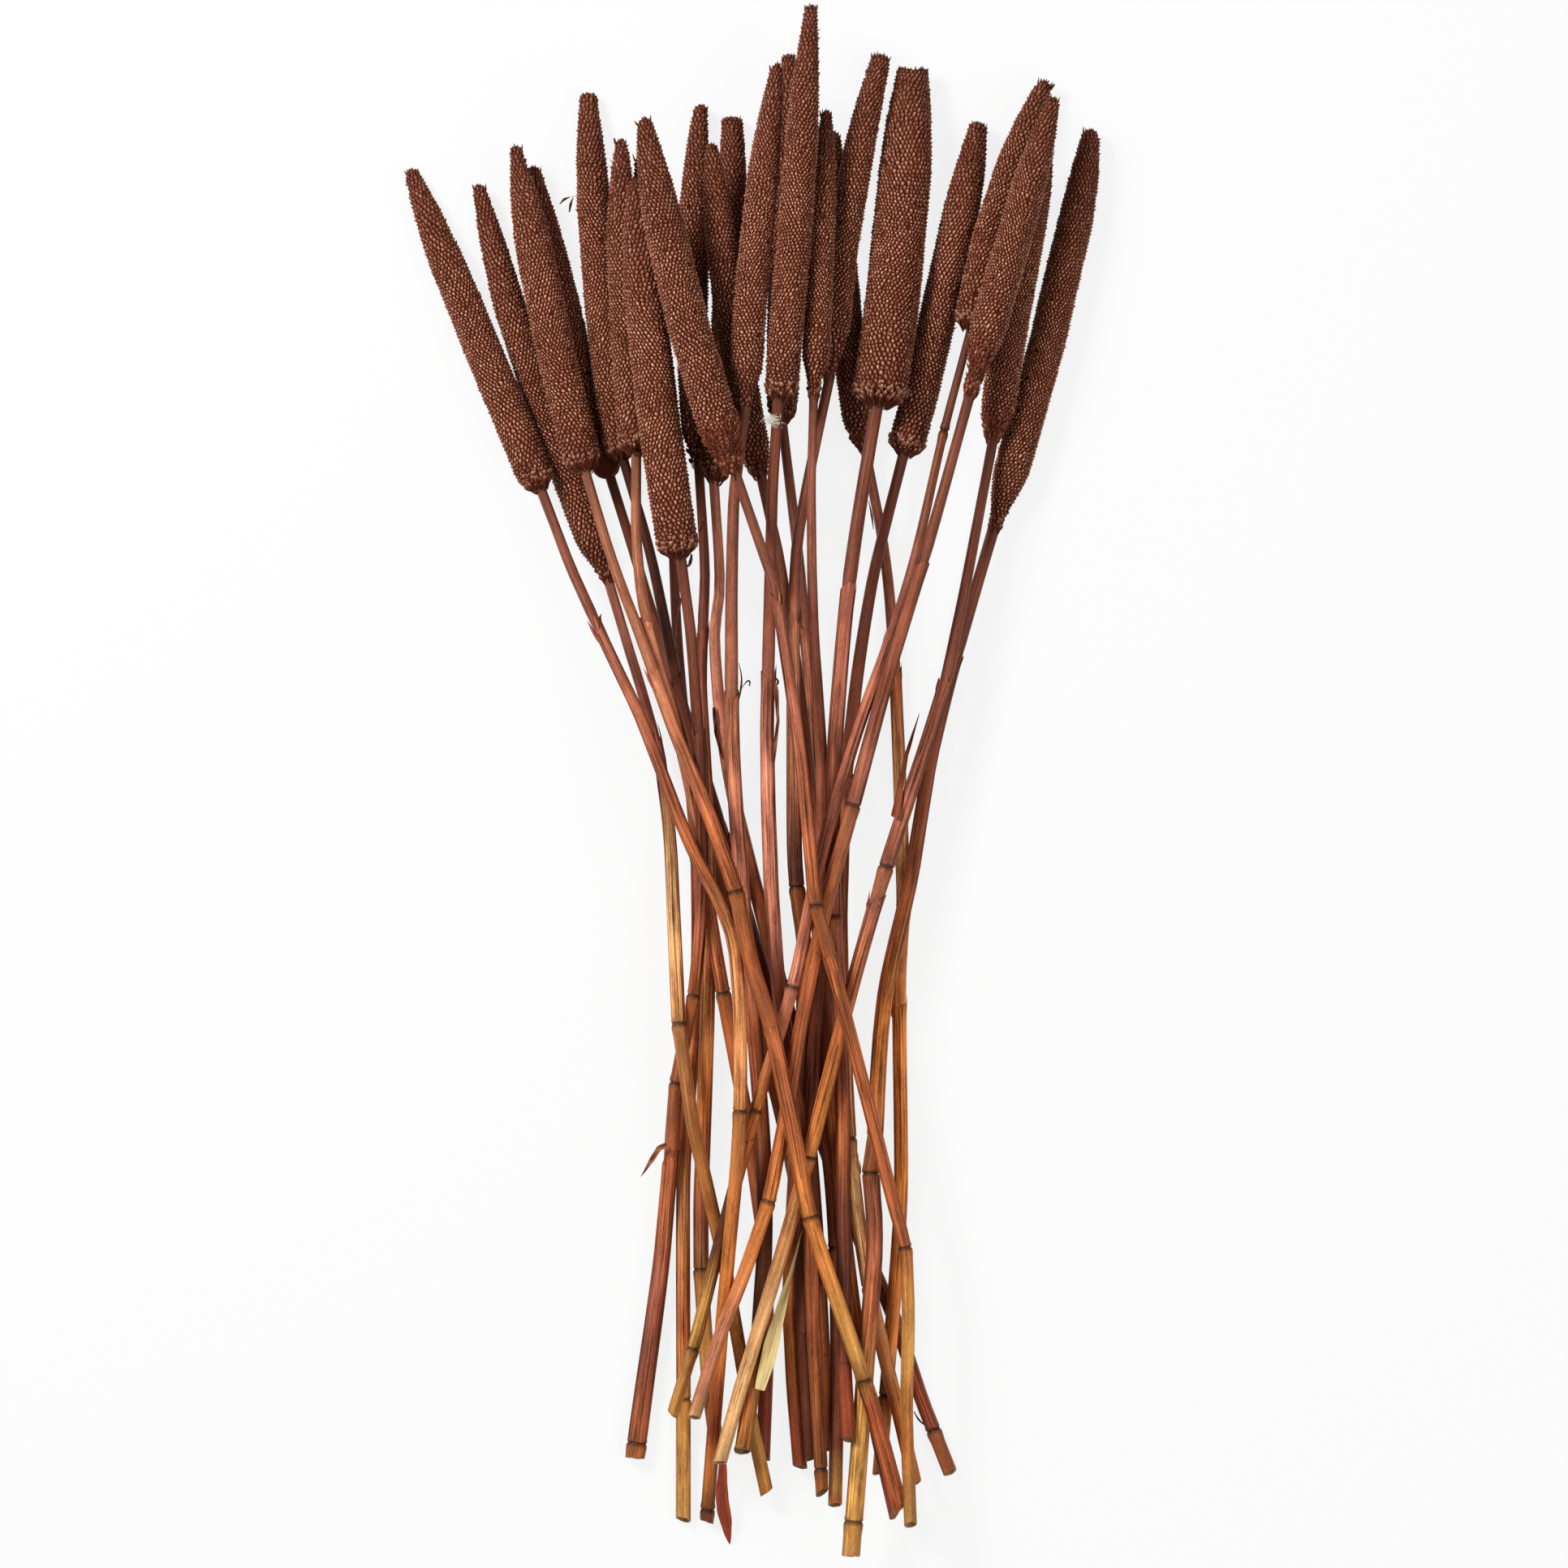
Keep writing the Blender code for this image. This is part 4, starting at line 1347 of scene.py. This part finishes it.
SCRAPS = (
    Scrap("stalk_13", ((-12.4, 380), (-11, 387), (-9.8, 393), (-9.6, 398), (-10.8, 404)), 0.5, 0.5),
    Scrap("stalk_13", ((-9.9, 392), (-8.2, 394.5), (-6.2, 396), (-6.0, 393.6)), 0.45, 0.7),
    Scrap("stalk_13", ((-12.2, 385), (-12.8, 379), (-11.6, 374)), 0.6, 0.2),
    Scrap("stalk_07", ((-38.2, 397), (-38.9, 410), (-38.3, 424), (-39, 434.5), (-40.2, 432)), 0.55, 0.5),
    Scrap("stalk_15", ((5.4, 398), (6.9, 395.6), (5.6, 392.8), (7.4, 391)), 0.6, 0.4),
    Scrap("stalk_01", ((-71.5, 419), (-73.6, 424), (-73.0, 426.5)), 0.8, 0.4),
    Scrap("stalk_20", ((48, 478), (49.4, 471), (50.2, 465)), 0.5, 0.5),
    Scrap("seed_head_05", ((-81.5, 614.5), (-85, 616.3), (-88.4, 615.6)), 0.16, 0.2),
    Scrap("seed_head_05", ((-86, 616), (-87.2, 612.5), (-87.8, 609)), 0.75, 0.6),
    Scrap("seed_head_05", ((-87.6, 615.8), (-90, 614.8), (-92.2, 612.6)), 0.6, 0.5),
    Scrap("stalk_04", ((68.6, 64.4), (71, 60.5), (74, 58), (76.6, 56.2)), 0.5, 0.4),
    Scrap("seed_head_07", ((-28.5, 463), (-26.6, 467.5), (-27.4, 470.5)), 0.7, 0.4),
    Scrap("stalk_07", ((-38.6, 452), (-37.4, 450.6), (-36.8, 448.4)), 0.8, 0.4),
    Scrap("stalk_07", ((-35.6, 448.6), (-33.8, 447.6), (-32.4, 450), (-32, 453)), 0.9, 0.6),
    Scrap("seed_head_11", ((-4, 492), (-2.2, 489.6), (0.6, 488.4)), 0.7, 0.3),
    Scrap("seed_head_11", ((-3.4, 489), (-1.4, 486.2), (1.0, 485.2)), 0.6, 0.3),
    Scrap("seed_head_23", ((70.5, 662.5), (72.8, 663.2), (74.8, 661.8)), 0.18, 0.5),
)
SCRAP_BEVEL, SCRAP_STEPS = 2, 6  # how finely its round and its line are divided
THINNING, THINNEST = 1.4, 0.15  # how fast it thins away from its fattest place, and down to what share


def in_plan(route, x, y):
    """A place in the plan, at the height of a route there."""
    x, y = x * MM + PLAN_X, y * MM + cad_low[1]
    return x, y, route.height_at(x, y)


def lay_scrap(scrap):
    """A tapered tube through the scrap's points."""
    route = Route(scrap.on)
    tube = curve_object([in_plan(route, *point) for point in scrap.points])
    line = tube.data
    line.bevel_depth, line.bevel_resolution, line.resolution_u = scrap.half * MM, SCRAP_BEVEL, SCRAP_STEPS
    line.use_fill_caps = True
    for knot, share in zip(line.splines[0].bezier_points, np.linspace(0, 1, len(scrap.points))):
        knot.radius = max(THINNEST, 1 - THINNING * abs(share - scrap.fat))
    select_only(tube)
    bpy.ops.object.convert(target="MESH")
    face_outwards(tube, merging=True)
    tube.data.shade_smooth()
    return tube


def draw_scrap(tree):
    mottle = noise(tree, add(tree, "TexCoord", out="Object"), (900, 500, 900), 3)
    husk = mixed(between(mottle, 0.4, 0.66), linear(44, 24, 16), linear(104, 60, 40))
    return {"Base Color": husk, "Roughness": 0.6 + mottle * 0.2, "Normal": bumped(tree, mottle, 0.2 * MM)}


scraps = joined("husk_scraps", *[lay_scrap(scrap) for scrap in SCRAPS])
dress(scraps, material("dark husk", draw_scrap, Specular_IOR_Level=0.2))
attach(scraps, "root")
print(len(SCRAPS), "scraps have", len(scraps.data.polygons), "faces")

# %% Stick on the fluff
FLUFF_AT = (4.2, 513)  # in the plan, in millimetres
THREADS = 170
FLUFF_SPREAD = np.array([1.5, 1.2, 0.3]) * MM
THREAD_REACH = np.array([1.1, 0.9, 0.4]) * MM


def draw_fluff(tree):
    tone = attribute(tree, "tone")
    return {"Base Color": mixed(tone, linear(222, 206, 172), linear(255, 255, 252)), "Roughness": 0.8}


chance = np.random.default_rng(24)
bearer = Route("stalk_15")
top = np.array(in_plan(bearer, *FLUFF_AT)) + (0, 0, bearer.radii[0])
feet = top + chance.normal(0, 1, (THREADS, 3)) * FLUFF_SPREAD
tips = feet + chance.normal(0, 1, (THREADS, 3)) * THREAD_REACH + (0, 0, 0.3 * MM)
widths = chance.uniform(0.06, 0.2, THREADS) * MM
fluff = plant(PLANT_HUSKS, [(feet, tips, widths)], chance.random)
fluff.name = fluff.data.name = "white_fluff"
dress(fluff, material("white fluff", draw_fluff, Specular_IOR_Level=0.2))
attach(fluff, "root")
for planted in MODELS:  # no more copies of them are needed
    bpy.data.objects.remove(planted)

# %% [markdown]
# ## The table, the light and the camera
#
# The table is plain white. What is seen of it, straight or mirrored, is mostly an even glow of its own, so
# that the bunch lies on clean white with a faint shadow. The light that it throws on the bunch stays as is.

# %% Table
FLOOR_SIDE = 12.0
GLOW_SHARE = 0.84


def draw_table(tree):
    return {"Base Color": linear(245, 245, 245)}


bpy.ops.mesh.primitive_plane_add(size=FLOOR_SIDE, location=(0, 0, cad_low[2]))
table = bpy.context.object
table.name = "table"
dress(table, material("white table", draw_table, Roughness=0.9))
white = table.data.materials[0].node_tree
seen = add(white, "LightPath", out="Is Camera Ray")
mirrored = add(white, "LightPath", out="Is Glossy Ray")
through = add(white, "LightPath", out="Is Transmission Ray")
glow = add(white, "Emission", {}, {"Color": (1, 1, 1, 1), "Strength": 1.0})
surface = Field(white.nodes["Principled BSDF"].outputs[0])
shown = add(white, "MixShader", {}, {0: (seen + mirrored + through) * GLOW_SHARE, 1: surface, 2: glow})
fill(white.nodes["Material Output"].inputs["Surface"], shown)

# %% Light
SKY = 0.27


def soft_box(name, place, side, watts):
    """A square lamp that faces the middle of the bunch."""
    lamp = bpy.data.lights.new(name, "AREA")
    lamp.shape, lamp.size, lamp.energy = "SQUARE", side, watts
    made = placed(name, lamp)
    made.location = place
    made.rotation_euler = (-made.location).to_track_quat("-Z", "Y").to_euler()


soft_box("key", (-1.3, 1.2, 1.7), side=0.7, watts=46)
soft_box("fill", (1.5, -0.8, 2.0), side=1.6, watts=19)
world = bpy.data.worlds.new("studio")
bpy.context.scene.world = world
world.use_nodes = True
backdrop = world.node_tree.nodes["Background"]
backdrop.inputs["Color"].default_value = (1, 1, 1, 1)
backdrop.inputs["Strength"].default_value = SKY
bpy.context.scene.view_settings.view_transform = "Standard"

# %% Camera
LENS = 250.0  # millimetres
SENSOR = 36.0
AIM = (0.0146, -0.0008, 0.02)  # the place that it looks straight down at
VIEW_WIDE = 0.710  # how much of the bunch the picture takes in at that height
view = bpy.data.cameras.new("overhead")
view.lens, view.sensor_width, view.clip_end = LENS, SENSOR, 20
camera = placed("overhead", view)
camera.location = AIM[:2] + (AIM[2] + VIEW_WIDE * LENS / SENSOR,)
bpy.context.scene.camera = camera
